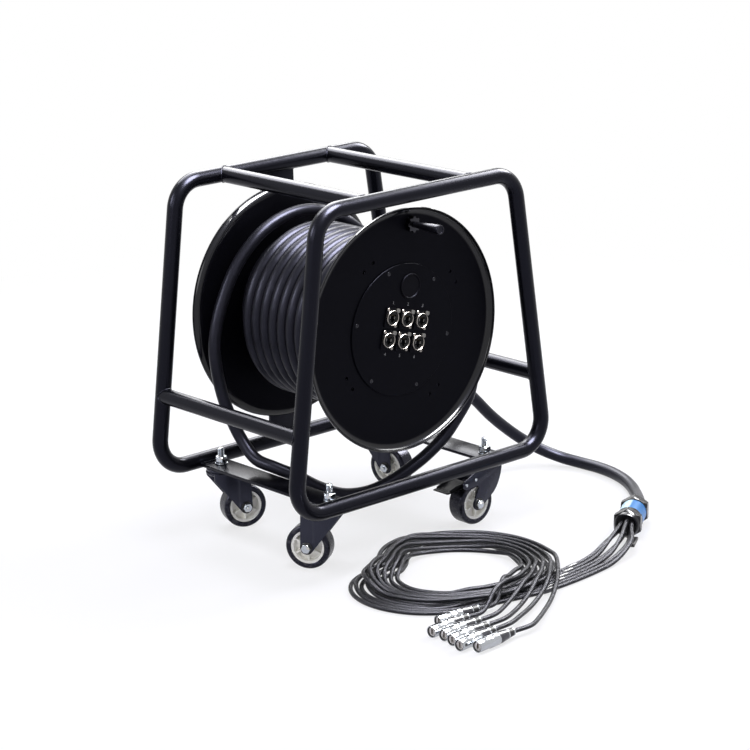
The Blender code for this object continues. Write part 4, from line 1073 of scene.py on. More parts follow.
@dataclass
class Caster:
    """One swivel caster on its threaded stem."""

    corner: Corner
    reach_x: float = 162.5 * MM
    reach_y: float = 131 * MM
    seat: float = 102 * MM
    bar_top: float = 107 * MM
    trail: float = 33 * MM
    wheel: float = 35 * MM
    width: float = 29 * MM
    tyre: float = 8.5 * MM
    axle: float = 5 * MM
    sheet: float = 2.5 * MM
    race: float = 24 * MM
    crown: float = 25.2 * MM
    fork_front: float = 19 * MM
    fork_boss: float = 10.5 * MM
    fork_step: tuple = (24 * MM, 5.5 * MM, 1.7 * MM)
    race_height: float = 4 * MM
    stud: float = 5 * MM
    stud_length: float = 27 * MM
    pitch: float = 1.5 * MM
    nut: float = 17 * MM
    nut_height: float = 8.4 * MM
    washers: float = 4 * MM
    axle_nut: float = 13 * MM
    hub_ring: float = 9.5 * MM
    ribs: int = 6
    pin: tuple = (25 * MM, 36 * MM)
    pedal: float = 3 * MM
    ear: float = 2.2 * MM

    @property
    def name(self) -> str:
        """The caster's place in words."""
        return self.corner.value[0]

    @property
    def braked(self) -> bool:
        """Whether the caster has a brake, as only the front right one has."""
        return self.corner is Corner.FRONT_RIGHT

    @property
    def top(self) -> float:
        """The fork's top."""
        return self.seat - self.race_height - 2 * GAP

    @property
    def reach(self) -> float:
        """How far the fork's flat top goes back from the stem."""
        return 26 * MM if self.braked else 21 * MM

    @property
    def inside(self) -> float:
        """Half the space between the fork's legs."""
        return self.width / 2 + 2 * MM

    @property
    def outer(self) -> float:
        """Half the fork's width."""
        return self.inside + self.sheet

    def post(self) -> Matrix:
        """The stem's place."""
        _, side, end, _ = self.corner.value
        return shift(side * self.reach_x, MIDDLE_Y + end * self.reach_y)

    def heading(self) -> Matrix:
        """The fork's place, with X the way the wheel trails."""
        return self.post() @ Matrix.Rotation(math.radians(self.corner.value[3]), 4, "Z")

    def build(self) -> None:
        """Make the caster's pieces."""
        self.stem()
        self.fork()
        self.axle_bolt()
        self.roll()
        if self.braked:
            self.brake()

    def stem(self) -> None:
        """The race and kingpin under the bar, and the stud with its washer and nut above it."""
        name, post = self.name, self.post()
        high = self.seat - GAP
        low = high - self.race_height
        under = low - GAP - 2 * self.sheet - GAP
        race = self.race
        dish = [(0, high), *offsets((race, high), (-1.2, 0), (0, -1)),
                *offsets((race, low), (0, 0.4), (-1, 0)), (0.6 * race, low), (6 * MM, low),
                *offsets((0, under), (6, 0), (9, 0), (9, -3.5), (6.5, -5.5), (0, -6))]
        place(f"caster_race_{name}", lathe("race", dish, 64), CASTER_PAINT, Body.FRAME, f"caster_stem_{name}",
              matrix=post)

        washer_low, tip = self.bar_top + GAP, self.bar_top + self.stud_length
        root, height = self.stud - 0.9 * MM, self.bar_top + 1 * MM
        thread = [(0, self.seat), (root, self.seat)]
        while height < tip - self.pitch:
            thread += [(root, height)] + [(self.stud, height + share * self.pitch) for share in (0.4, 0.6)]
            height += self.pitch
        thread += [*offsets((self.stud, tip), (-1.1, -0.4), (-1.6, 0)), (0, tip)]
        place(f"caster_stud_{name}", lathe("stud", thread, 40, sharp=20), ZINC, Body.FRAME, matrix=post)
        corner = (self.stud, washer_low)
        washer = offsets(corner, (0, 0), (5, 0), (5.2, 0.5), (5, 1.8), (0, 2))
        spring = offsets(corner, *rectangle(0, 4, 2, 4))
        rings = merged("washers", ring("washer", washer, 48), ring("spring", spring, 48))
        place(f"caster_washer_{name}", rings, ZINC, Body.FRAME, matrix=post)
        low = washer_low + self.washers
        nut = hexagon("stud_nut", self.nut, low, low + self.nut_height)
        place(f"caster_nut_{name}", nut, ZINC, Body.FRAME, matrix=post)

    def leg(self) -> Outline:
        """A fork leg from the side.

        Returns:
            Its outline, where x is the way the wheel trails and y is up.
        """
        hub, front = (self.trail, self.wheel), (-self.fork_front, self.top)
        eye = circle(self.fork_boss, 13, hub, math.radians(217), math.radians(160))
        if not self.braked:
            rear = offsets((self.trail + self.fork_boss, self.wheel), (-2, 52))
            bevel = offsets((self.race, self.top), (0, -1.6), (-3, 0))
            return offsets(front, (0, 0), (0, -12)) + eye + rear + bevel
        lead = offsets(front, (0, 0), (0, -10), (0.9, -16), (2.6, -23), (5, -30), (8.4, -37), (12.8, -44),
                       (18, -50))
        back = offsets(hub, (4, 16), (2, 20), (-1, 27), (2, 30.5))
        lug = circle(7.6 * MM, 9, self.brake_pin(), math.radians(250), math.radians(190))
        return lead + eye + back + lug + offsets((self.reach, self.top), (0, -3.5), (-5, 0))

    def fork(self) -> None:
        """The pressed fork: two legs under a round crown, the plain ones with a pressed step."""
        start, run, rise = self.fork_step
        legs = []
        for side in (-1, 1):
            low, high = sorted((side * self.inside, side * self.outer))
            leg = moved(prism("leg", self.leg(), low, high, 0.5 * MM), axis="X", degrees=90)
            legs.append(leg if self.braked else joggled(leg, start, run, -side * rise))
        low, bore = self.top - 2 * self.sheet, 6.5 * MM
        outline = rounded(rectangle(-self.fork_front, self.reach, -self.outer, self.outer), 3 * MM)
        bridge = prism("bridge", outline, low, self.top - 0.6 * MM, 0.6 * MM)
        crown = [(bore, low), *offsets((self.crown, low), (-1.5, 0), (0, 1.2)),
                 *offsets((self.crown, self.top), (0, -1.6), (-1.2, -0.3)), (18 * MM, self.top),
                 (bore, self.top)]
        fork = merged("fork", *legs, bridge, ring("crown", crown, 72))
        place(f"caster_fork_{self.name}_pressing", closed("fork", fork), CASTER_PAINT, f"caster_{self.name}",
              f"caster_fork_{self.name}", matrix=self.heading())

    def axle_bolt(self) -> None:
        """The axle bolt's head and nut on their washers."""
        parts, caps = [], []
        washer = offsets((0, 0), (0, 0), (9.2, 0), (9.2, 1), (8.6, 1.5), (0, 1.5))
        for side, end in ((-1, 5.6), (1, 7.4)):
            turn = {"axis": "X", "degrees": 90 * side}
            spot = (self.trail, -side * self.outer, self.wheel)
            caps.append(moved(lathe("axle_washer", washer, 40), spot, **turn))
            parts.append(moved(hexagon("axle_hex", self.axle_nut, 1.4 * MM, 5.8 * MM, False), spot, **turn))
            tip = offsets((0, 0), (0, 5), (3, 5), (3, end), (2.4, end + 0.6), (0, end + 0.6))
            parts.append(moved(lathe("axle_end", tip, 24), spot, **turn))
        body = f"caster_{self.name}"
        place(f"axle_washers_{self.name}", merged("axle_washers", *caps), SEAL_PLASTIC, body,
              matrix=self.heading())
        place(f"axle_bolt_{self.name}", merged("axle_bolt", *parts), ZINC, body, matrix=self.heading())

    def roll(self) -> None:
        """The wheel: a dark tyre on a cream hub with six ribs, and its bearing seals."""
        rim, half = self.wheel, self.width / 2
        hub = rim - self.tyre
        spot = self.heading() @ shift(self.trail, 0, self.wheel) @ Matrix.Rotation(math.pi / 2, 4, "X")
        body = f"wheel_{self.name}"
        shoulder = [(rim - 4 * MM * (1 - math.sin(angle)), half - 4.2 * MM * (1 - math.cos(angle)))
                    for angle in (math.radians(10 * step) for step in range(10))]
        side = offsets((hub, half), (-0.6, -1.2), (0.8, -0.1)) + [(rim - 5.2 * MM, half)] + shoulder
        tread = [(rim, half * share) for share in (0.3, 0, -0.3)]
        tyre = ring("tyre", side + tread + mirrored(side), 96)
        place(f"wheel_tyre_{self.name}", tyre, TYRE, body, f"caster_wheel_{self.name}", matrix=spot)

        inner, web = self.hub_ring, 0.34 * half
        face = [(self.axle + GAP, half + 1.4 * MM), *offsets((inner, half), (-0.6, 1.4), (0, 0.8)),
                (inner + 0.8 * MM, web), (hub - 5.4 * MM, web),
                *offsets((hub, half), (-4.6, -2.4), (-4, -1.4), (-0.4, -1), (-0.3, -2))]
        hub_mesh = ring("hub", face + mirrored(face), 72)
        end = hub - 5 * MM
        outline = [(inner, -1.1 * MM), (end, -1.6 * MM), (end, 1.6 * MM), (inner, 1.1 * MM)]
        ribs = []
        for step in range(self.ribs):
            for way in (-1, 1):
                low, high = sorted((way * web * 0.9, way * (half - 3.2 * MM)))
                rib = prism("rib", outline, low, high, 0.3 * MM)
                ribs.append(moved(rib, degrees=360 / self.ribs * (step + 0.5)))
        place(f"wheel_hub_{self.name}", merged("hub", hub_mesh, *ribs), HUB_PLASTIC, body, matrix=spot)
        low, high = half + 1.3 * MM, half + 1.7 * MM
        seal = [(self.axle + 0.4 * MM, low), (8 * MM, low), (7.8 * MM, high), (self.axle + 0.4 * MM, high)]
        seals = [ring("seal", [(radius, way * height) for radius, height in seal], 40) for way in (-1, 1)]
        place(f"wheel_seals_{self.name}", merged("seals", *seals), SEAL_PLASTIC, body, matrix=spot)

    def brake_pin(self) -> tuple[float, float]:
        """How far the brake's pin trails, and its height."""
        return self.trail + self.pin[0], self.wheel + self.pin[1]

    def brake(self) -> None:
        """The brake pedal, its rivets, and the pin's ends."""
        half = self.inside - 2 * GAP
        eye = circle(5.5 * MM, 15, start=math.radians(60), sweep=math.radians(240))
        toe = offsets((0, 0), (14, -5), (26, -6.6), (37, -7), (40, -6.4), (40.4, -4.8))
        toe += offsets((0, self.pedal), (38, -7), (26, -6.4)) + offsets((0, 1.6 * self.pedal), (14, -5))
        plate = prism("pedal", eye + toe, -half, half, 0.5 * MM)
        cheek = offsets((0, 0), (6, -2), (14, -4.6), (33, -6.4), (33, -1.6), (20, 3.2), (6, 4.5))
        ears = [prism("pedal_ear", cheek, low, low + self.ear, 0.4 * MM) for low in (-half, half - self.ear)]
        tread = ((0, -4.4), (2.2, -4.4), (1.7, -3.2), (0.5, -3.2))
        ribs = [prism("pedal_rib", offsets((x * MM, 0), *tread), -0.7 * half, 0.7 * half)
                for x in (24, 29, 34)]
        x, z = self.brake_pin()
        pedal = moved(merged("pedal", plate, *ears, *ribs), axis="X", degrees=90)
        place(f"brake_pedal_{self.name}_plate", pedal, PEDAL_PAINT, f"pedal_{self.name}",
              f"brake_pedal_{self.name}", matrix=self.heading() @ shift(x, 0, z))
        dome = offsets((0, 0), (0, 1.4), (1.4, 1.2), (2.4, 0.6), (2.8, -0.4), (0, -0.4))
        rivets = [moved(lathe("rivet", dome, 20), (u, -side * self.outer, v), "X", 90 * side)
                  for side in (-1, 1) for u, v in ((x, z), (x - 20 * MM, z + 5 * MM))]
        place(f"brake_rivets_{self.name}", merged("rivets", *rivets), ZINC, f"caster_{self.name}",
              matrix=self.heading())


# The drum


DRUM_HEIGHT = 340 * MM
DRUM_TURN = math.radians(14.5)
AXLE = (shift(0, MIDDLE_Y, DRUM_HEIGHT) @ Matrix.Rotation(DRUM_TURN, 4, "Y")
        @ Matrix.Rotation(math.pi / 2, 4, "X"))
STILL_AXLE = shift(0, MIDDLE_Y, DRUM_HEIGHT) @ Matrix.Rotation(math.pi / 2, 4, "X")


@dataclass
class Drum:
    """The two dished discs, the core and the bearing hub. Heights run along the axle, to the front."""

    radius: float = 190 * MM
    sheet: float = 2 * MM
    lip_depth: float = 8.6 * MM
    lip_width: float = 12.5 * MM
    front: float = 121.8 * MM
    rear: float = 143.4 * MM
    core: float = 100 * MM
    opening: float = 88 * MM
    hub: float = 22 * MM
    hub_flange: float = 55 * MM
    hub_sheet: float = 4 * MM
    hub_rear: float = -157.4 * MM
    hub_length: float = 86 * MM
    hub_bolts: float = 44 * MM
    spindle: float = 10 * MM
    spindle_back: float = -163.7 * MM
    spindle_bolts: float = 23 * MM
    spindle_nut: tuple = (24 * MM, 13 * MM)
    upright: float = 5 * MM
    bolt: tuple = (10 * MM, 4 * MM)
    tie_radius: float = 126 * MM
    tie_hole: float = 3 * MM
    tie_angle: float = 5.0

    def build(self) -> None:
        """Make the drum's pieces and the spindle that it turns on."""
        self.discs()
        self.bearing()
        self.axle()

    def dish(self, hole: float, face: float, outward: int) -> Outline:
        """A dished disc's closed section.

        Args:
            hole: its bore's radius.
            face: the height of its flat's outer side.
            outward: 1 at the front and -1 at the rear.

        Returns:
            Pairs of radius and height.
        """
        half, lip, deep = self.sheet / 2, self.radius - self.lip_width, self.lip_depth
        wide = self.lip_width - half
        middle = [(hole, -half, 0.0)]
        for step in range(11):
            angle = math.radians(9 * step)
            slope = math.atan2(deep * math.sin(angle), wide * math.cos(angle))
            middle.append((lip + wide * math.sin(angle), deep * (1 - math.cos(angle)) - half, slope))
        outer = [(r - half * math.sin(slope), z + half * math.cos(slope)) for r, z, slope in middle]
        inner = [(r + half * math.sin(slope), z - half * math.cos(slope)) for r, z, slope in middle]
        rim_r, rim_z, _ = middle[-1]
        lip_end = [(rim_r - 0.5 * half, rim_z + 0.7 * half), (rim_r + 0.5 * half, rim_z + 0.7 * half)]
        return [(r, outward * (face + z)) for r, z in outer + lip_end + inner[::-1]]

    def discs(self) -> None:
        """The front disc with its tie holes, the rear disc and the core."""
        low, high = self.front - 5 * MM, self.front + 3 * MM
        ties = [prism("tie", circle(self.tie_hole, 20, spot), low, high)
                for turn in (-self.tie_angle, self.tie_angle)
                for spot in circle(self.tie_radius, 4, start=math.radians(45 + turn))]
        front = bored(ring("front_disc", self.dish(self.opening, self.front, 1), 144), *ties)
        place("front_disc_dish", front, DISC_PAINT, Body.DRUM, "front_disc", matrix=AXLE)
        rear = ring("rear_disc", self.dish(self.hub + GAP, self.rear + self.sheet, -1), 144)
        place("rear_disc_dish", rear, DISC_PAINT, Body.DRUM, "rear_disc", matrix=AXLE)
        core = rectangle(self.core - self.sheet, self.core, -self.rear, self.front - self.sheet)
        place("drum_core_tube", ring("core", core, 96), DISC_PAINT, Body.DRUM, "drum_core", matrix=AXLE)

    def bearing(self) -> None:
        """The bearing hub with its flange's bolts."""
        hub, rear, face = self.hub, self.hub_rear, -self.rear - self.sheet
        bore, end, under = self.spindle + GAP, rear + self.hub_length, face - self.hub_sheet
        section = [*offsets((bore, rear), (0, 1), (1, 0)), *offsets((hub, rear), (-1, 0), (0, 1)),
                   (hub, under), *offsets((self.hub_flange, under), (-1, 0), (0, 1)),
                   (self.hub_flange, face - GAP), (hub, face - GAP), (hub, end), (bore, end)]
        place("bearing_hub_turned", ring("hub", section, 96), TURNED, Body.DRUM, "bearing_hub", matrix=AXLE)
        bolts = self.bolts("hub_bolts", circle(self.hub_bolts, 6), under)
        place("bearing_hub_bolts", bolts, ZINC, Body.DRUM, matrix=AXLE)

    def bolts(self, name: str, spots: Outline, face: float) -> bpy.types.Mesh:
        """Bolt heads that look to the rear.

        Args:
            name: the mesh's name.
            spots: where they are.
            face: the height of the face that they sit on.

        Returns:
            The mesh of them all.
        """
        width, height = self.bolt
        heads = [moved(hexagon("bolt", width, 0, height, False), (x, y, face), "X", 180) for x, y in spots]
        return merged(name, *heads)

    def axle(self) -> None:
        """The spindle, bolted to the upright, with its washer and nut."""
        back, washer = self.spindle_back, self.hub_rear + self.hub_length + GAP
        width, height = self.spindle_nut
        tip = washer + 1.65 * height
        section = [*offsets((0, back), (0, 0), (32, 0), (32, 5), (31, 6)), (self.spindle, back + 6 * MM),
                   (self.spindle, washer), *offsets((0, washer), (16, 0), (16, 3), (8, 3)),
                   *offsets((0, tip), (8, -1.5), (6.5, 0), (0, 0))]
        nut = hexagon("spindle_nut", width, washer + 3 * MM, washer + 3 * MM + height)
        spindle = merged("spindle", lathe("spindle", section, 72), nut)
        place("drum_spindle_turned", spindle, TURNED, Body.FRAME, "drum_spindle", matrix=STILL_AXLE)
        spots = circle(self.spindle_bolts, 4, start=math.pi / 4)
        bolts = self.bolts("upright_bolts", spots, back - GAP - self.upright)
        place("upright_bolts", bolts, ZINC, Body.FRAME, matrix=STILL_AXLE)


@dataclass
class Winding:
    """The trunk cable on the drum: the outer turns over an inner layer that winds the other way."""

    cable: float = 9.75 * MM
    pitch: float = 20.5 * MM
    turns: int = 9
    radius: float = 130.25 * MM
    start: float = 89.25 * MM
    angle: float = -14.0
    inner_radius: float = 109.3 * MM
    inner_pitch: float = 19.6 * MM
    inner_start: float = 109.6 * MM
    inner_turns: float = 12.3
    to_a_turn: int = 60

    def helix(self, radius: float, start: float, pitch: float, turns: float, way: int) -> list:
        """Points of one layer.

        Args:
            radius: how far they are from the axle.
            start: how far to the front the layer starts.
            pitch: how far it moves to the rear in a turn.
            turns: how often it goes round.
            way: 1 or -1, the way that it goes round.

        Returns:
            The points, in the drum's frame.
        """
        points = []
        for step in range(round(turns * self.to_a_turn) + 1):
            turn = step / self.to_a_turn
            angle = math.radians(self.angle) + way * 2 * math.pi * turn
            points.append((radius * math.cos(angle), radius * math.sin(angle), start - pitch * turn))
        return points

    def build(self) -> None:
        """Make both layers."""
        outer = self.helix(self.radius, self.start, self.pitch, self.turns, 1)
        place("cable_winding_outer", sweep("winding", outer, self.cable, 24), TRUNK_JACKET, Body.DRUM,
              "cable_winding", matrix=AXLE)
        inner = self.helix(self.inner_radius, self.inner_start, self.inner_pitch, self.inner_turns, -1)
        place("cable_winding_inner", sweep("winding_inner", inner, self.cable, 16), TRUNK_JACKET, Body.DRUM,
              "cable_inner_layer", matrix=AXLE)


@dataclass
class Panel:
    """The patch plate in the drum's face, with its blank cap, six sockets and their latches."""

    face: float = 122.1 * MM
    sheet: float = 2 * MM
    radius: float = 103 * MM
    screw_radius: float = 95 * MM
    screws: int = 6
    cap_radius: float = 20 * MM
    cap_centre: float = 68 * MM
    pitch_x: float = 30.8 * MM
    pitch_y: float = 34.6 * MM
    group_x: float = 2 * MM
    flange: tuple = (26 * MM, 31 * MM)
    flange_sheet: float = 2.5 * MM
    ring: float = 11.8 * MM
    ring_wall: float = 1.5 * MM
    ring_height: float = 3 * MM
    jack: tuple = (12 * MM, 9 * MM, 14 * MM)
    latch: tuple = (7.2 * MM, 6.4 * MM)
    latch_place: tuple = (8.2 * MM, 12.0 * MM)
    latch_height: float = 3.4 * MM
    socket_screw: tuple = (9.5 * MM, 12 * MM)
    contact: float = 1.02 * MM
    number_size: float = 7 * MM
    number_away: float = 22.5 * MM

    @property
    def low(self) -> float:
        """The plate's outer face."""
        return self.face + self.sheet

    def sockets(self) -> list[tuple[float, float]]:
        """Where the sockets sit, row by row from the upper left."""
        return [(self.group_x + (column - 1) * self.pitch_x, (0.5 - row) * self.pitch_y)
                for row in range(2) for column in range(3)]

    def screw(self, name: str, radius: float) -> bpy.types.Mesh:
        """A countersunk cross-head screw, seated at nought.

        Args:
            name: the mesh's name.
            radius: its head's radius.

        Returns:
            The mesh.
        """
        section = [(0, -0.6 * MM), (radius, -0.6 * MM), (radius, 0.2 * MM), (radius * 0.86, 0.55 * MM),
                   (0, 0.75 * MM)]
        head = lathe(name, section, 28)
        slot = oblong(radius * 1.15, radius * 0.3, radius * 0.1, steps=2)
        for turn in (0, 90):
            head = bored(head, moved(prism("slot", slot, 0.1 * MM, 2 * MM), degrees=turn))
        return head

    def build(self) -> None:
        """Make the plate, the cap, the sockets and the printed numbers."""
        self.plate()
        self.cap()
        self.ports()
        self.numbers()

    def plate(self) -> None:
        """The round plate and the screws that hold it."""
        section = [(0, self.face), (self.radius, self.face),
                   *offsets((self.radius, self.low), (0, -0.5), (-0.5, 0)), (0, self.low)]
        plate = lathe("plate", section, 144)
        place("patch_plate_sheet", plate, DISC_PAINT, Body.DRUM, "patch_plate", matrix=AXLE)
        mesh = self.screw("plate_screw", 3.1 * MM)
        for number, (x, y) in enumerate(circle(self.screw_radius, self.screws), start=1):
            place(f"plate_screw_{number}", mesh, BLACK_CAST, Body.DRUM, matrix=AXLE @ shift(x, y, self.low))

    def cap(self) -> None:
        """The blank cap with its raised rim."""
        low = self.low + GAP
        rim = ((0, 0), (0, 0.9), (-0.5, 1.7), (-1.2, 2.1), (-1.9, 1.9), (-2.4, 1.1), (-3, 0.6))
        section = [(0, low), *offsets((self.cap_radius, low), *rim), (0, low + 0.7 * MM)]
        place("blank_cap_moulding", lathe("cap", section, 72), BLACK_PLASTIC, Body.DRUM, "blank_cap",
              matrix=AXLE @ shift(0, self.cap_centre))

    def shell(self, low: float, high: float, top: float, inside: float) -> list[bpy.types.Mesh]:
        """A socket's flange and the ring on it, both cut back for the latch.

        Args:
            low: the flange's underside.
            high: its outer face.
            top: the ring's top.
            inside: the ring's bore's radius.

        Returns:
            The flange and the ring.
        """
        width, height = (size + 0.8 * MM for size in self.latch)
        cut = oblong(width, height, 2 * MM, self.latch_place)
        well = prism("well", circle(inside, 48), low - 1 * MM, high + 1 * MM)
        flange = bored(prism("flange", oblong(*self.flange, 3 * MM), low, high - 0.4 * MM, 0.4 * MM), well)
        flange = bored(flange, prism("pocket", cut, low + 0.2 * MM, high + 1 * MM))
        section = [(inside, high - 1 * MM), *offsets((self.ring, high), (0.3, -1), (0, 0.4)),
                   *offsets((self.ring, top), (0, -0.7), (-0.6, 0)),
                   *offsets((inside, top), (0.5, 0), (0, -0.6))]
        return [flange, bored(ring("collar", section), prism("clear", cut, low, top + 1 * MM))]

    def jack_parts(self, top: float, inside: float) -> list[bpy.types.Mesh]:
        """What sits in a socket's ring.

        Args:
            top: the ring's top.
            inside: the ring's bore's radius.

        Returns:
            The insert, its contacts, and the shield's two cheeks.
        """
        width, height, deep = self.jack
        block = prism("insert", circle(inside, 48), top - deep - 2 * MM, top - 1.6 * MM)
        mouth = prism("mouth", oblong(width, height, 0.6 * MM, (0, 0.6 * MM), 2), top - deep, top)
        key = prism("key", oblong(5 * MM, 3 * MM, 0.4 * MM, (0, -5.4 * MM), 2), top - 0.6 * deep, top)
        pin = rectangle(-0.22 * MM, 0.22 * MM, 0, 0.5 * MM)
        pins = [moved(prism("pin", pin, 3 * MM - deep, -4 * MM), (step * self.contact, 3.6 * MM, top))
                for step in CONTACTS]
        cheeks = [prism("cheek", oblong(1.6 * MM, 4.6 * MM, 0.5 * MM, (side * 4.9 * MM, 0.4 * MM), 2),
                        top - 9 * MM, top - 2.4 * MM, 0.3 * MM) for side in (-1, 1)]
        return [bored(bored(block, mouth), key), merged("pins", *pins), merged("cheeks", *cheeks)]

    def tab(self, high: float) -> bpy.types.Mesh:
        """The latch's tab with its three grooves, on a face at a height."""
        top = high + self.latch_height
        grooves = [prism("groove", oblong(self.latch[0] * 0.7, 0.5 * MM, 0.15 * MM, (0, step * 1.2 * MM), 2),
                         top - 0.4 * MM, top + 1 * MM) for step in (-1, 0, 1)]
        return bored(prism("latch", oblong(*self.latch, 2.6 * MM), high - 0.6 * MM, top, 0.8 * MM), *grooves)

    def ports(self) -> None:
        """The six sockets: flange, ring, insert with its contacts, two screws, and the latch."""
        low = self.low + GAP
        high = low + self.flange_sheet
        top = high + self.ring_height
        inside = self.ring - self.ring_wall
        flange, collar = self.shell(low, high, top, inside)
        insert, pins, cheeks = self.jack_parts(top, inside)
        screw, tab = self.screw("socket_screw", 2.5 * MM), self.tab(high)
        across, up = self.socket_screw
        for number, (x, y) in enumerate(self.sockets(), start=1):
            spot = AXLE @ shift(x, y)
            place(f"socket_flange_{number}", flange, BLACK_PLASTIC, Body.DRUM, f"socket_{number}",
                  matrix=spot)
            place(f"socket_ring_{number}", collar, CAST_NICKEL, Body.DRUM, matrix=spot)
            place(f"socket_insert_{number}", insert, INSERT_PLASTIC, Body.DRUM, matrix=spot)
            place(f"socket_contacts_{number}", pins, SHADED_GOLD, Body.DRUM, matrix=spot)
            place(f"socket_shield_{number}", cheeks, LATCH_METAL, Body.DRUM, matrix=spot)
            for label, side in (("upper", -1), ("lower", 1)):
                place(f"socket_screw_{number}_{label}", screw, CAST_NICKEL, Body.DRUM,
                      matrix=spot @ shift(side * across, -side * up, high - 0.2 * MM))
            place(f"latch_tab_{number}", tab, LATCH_METAL, f"latch_{number}", f"socket_latch_{number}",
                  matrix=spot @ shift(*self.latch_place))

    def numbers(self) -> None:
        """The printed numbers, above the upper row and below the lower one."""
        for number, (x, y) in enumerate(self.sockets(), start=1):
            text = bpy.data.curves.new("number", "FONT")
            text.body = str(number)
            text.size = self.number_size
            text.align_x, text.align_y = "CENTER", "CENTER"
            text.extrude = 0.04 * MM
            holder = bpy.data.objects.new("number", text)
            bpy.context.collection.objects.link(holder)
            bpy.context.view_layer.update()
            shown = holder.evaluated_get(bpy.context.evaluated_depsgraph_get())
            mesh = bpy.data.meshes.new_from_object(shown)
            bpy.data.objects.remove(holder)
            away = self.number_away if y > 0 else -self.number_away
            place(f"printed_number_{number}", mesh, PRINT, Body.DRUM,
                  matrix=AXLE @ shift(x, y + away, self.low + 0.03 * MM))


@dataclass
class Crank:
    """The crank handle near the rim: a lobed collar with its stud, and a tapered grip that turns on it."""

    radius: float = 163 * MM
    angle: float = math.radians(6.5)
    base: float = 122.1 * MM
    collar: float = 12.5 * MM
    collar_height: float = 9 * MM
    lobes: int = 8
    lobe_depth: float = 2.2 * MM
    grip_root: float = 4.75 * MM
    grip_end: float = 7.5 * MM
    grip_length: float = 57 * MM
    swell: tuple = ((0, 0), (0.05, 0.06), (0.10, 0.15), (0.30, 0.35), (0.58, 0.5), (0.84, 0.68), (0.97, 0.84),
                    (1, 0.92))

    def build(self) -> None:
        """Make the collar and the grip."""
        spot = AXLE @ shift(-self.radius * math.sin(self.angle), self.radius * math.cos(self.angle))
        outline = []
        for step in range(96):
            angle = 2 * math.pi * step / 96
            wave = max(-1.0, min(1.0, 2.2 * math.sin(self.lobes * angle)))
            reach = self.collar - self.lobe_depth * (1 - wave) / 2
            outline.append((reach * math.cos(angle), reach * math.sin(angle)))
        high = self.base + self.collar_height
        crown = prism("crank_collar", outline, self.base, high, 0.8 * MM)
        place("crank_collar_casting", crown, BLACK_CAST, Body.DRUM, "crank_collar", matrix=spot)
        root, wider = high + GAP, self.grip_end - self.grip_root
        end, run = root + self.grip_length, self.grip_length - 2 * MM
        section = [(0, root), (self.grip_root - 0.5 * MM, root)]
        section += [(self.grip_root + share * wider, root + 0.5 * MM + part * run)
                    for share, part in self.swell]
        section += offsets((self.grip_end, end), (0, -1.4), (-0.4, -0.4), (-1.2, 0), (-2.2, -0.3),
                           (-2.6, -1.2))
        section.append((0, end - 1.2 * MM))
        grip = lathe("grip", section, 48)
        place("crank_grip_moulding", grip, GRIP_PLASTIC, Body.GRIP, "crank_grip", matrix=spot)


# The loose cable


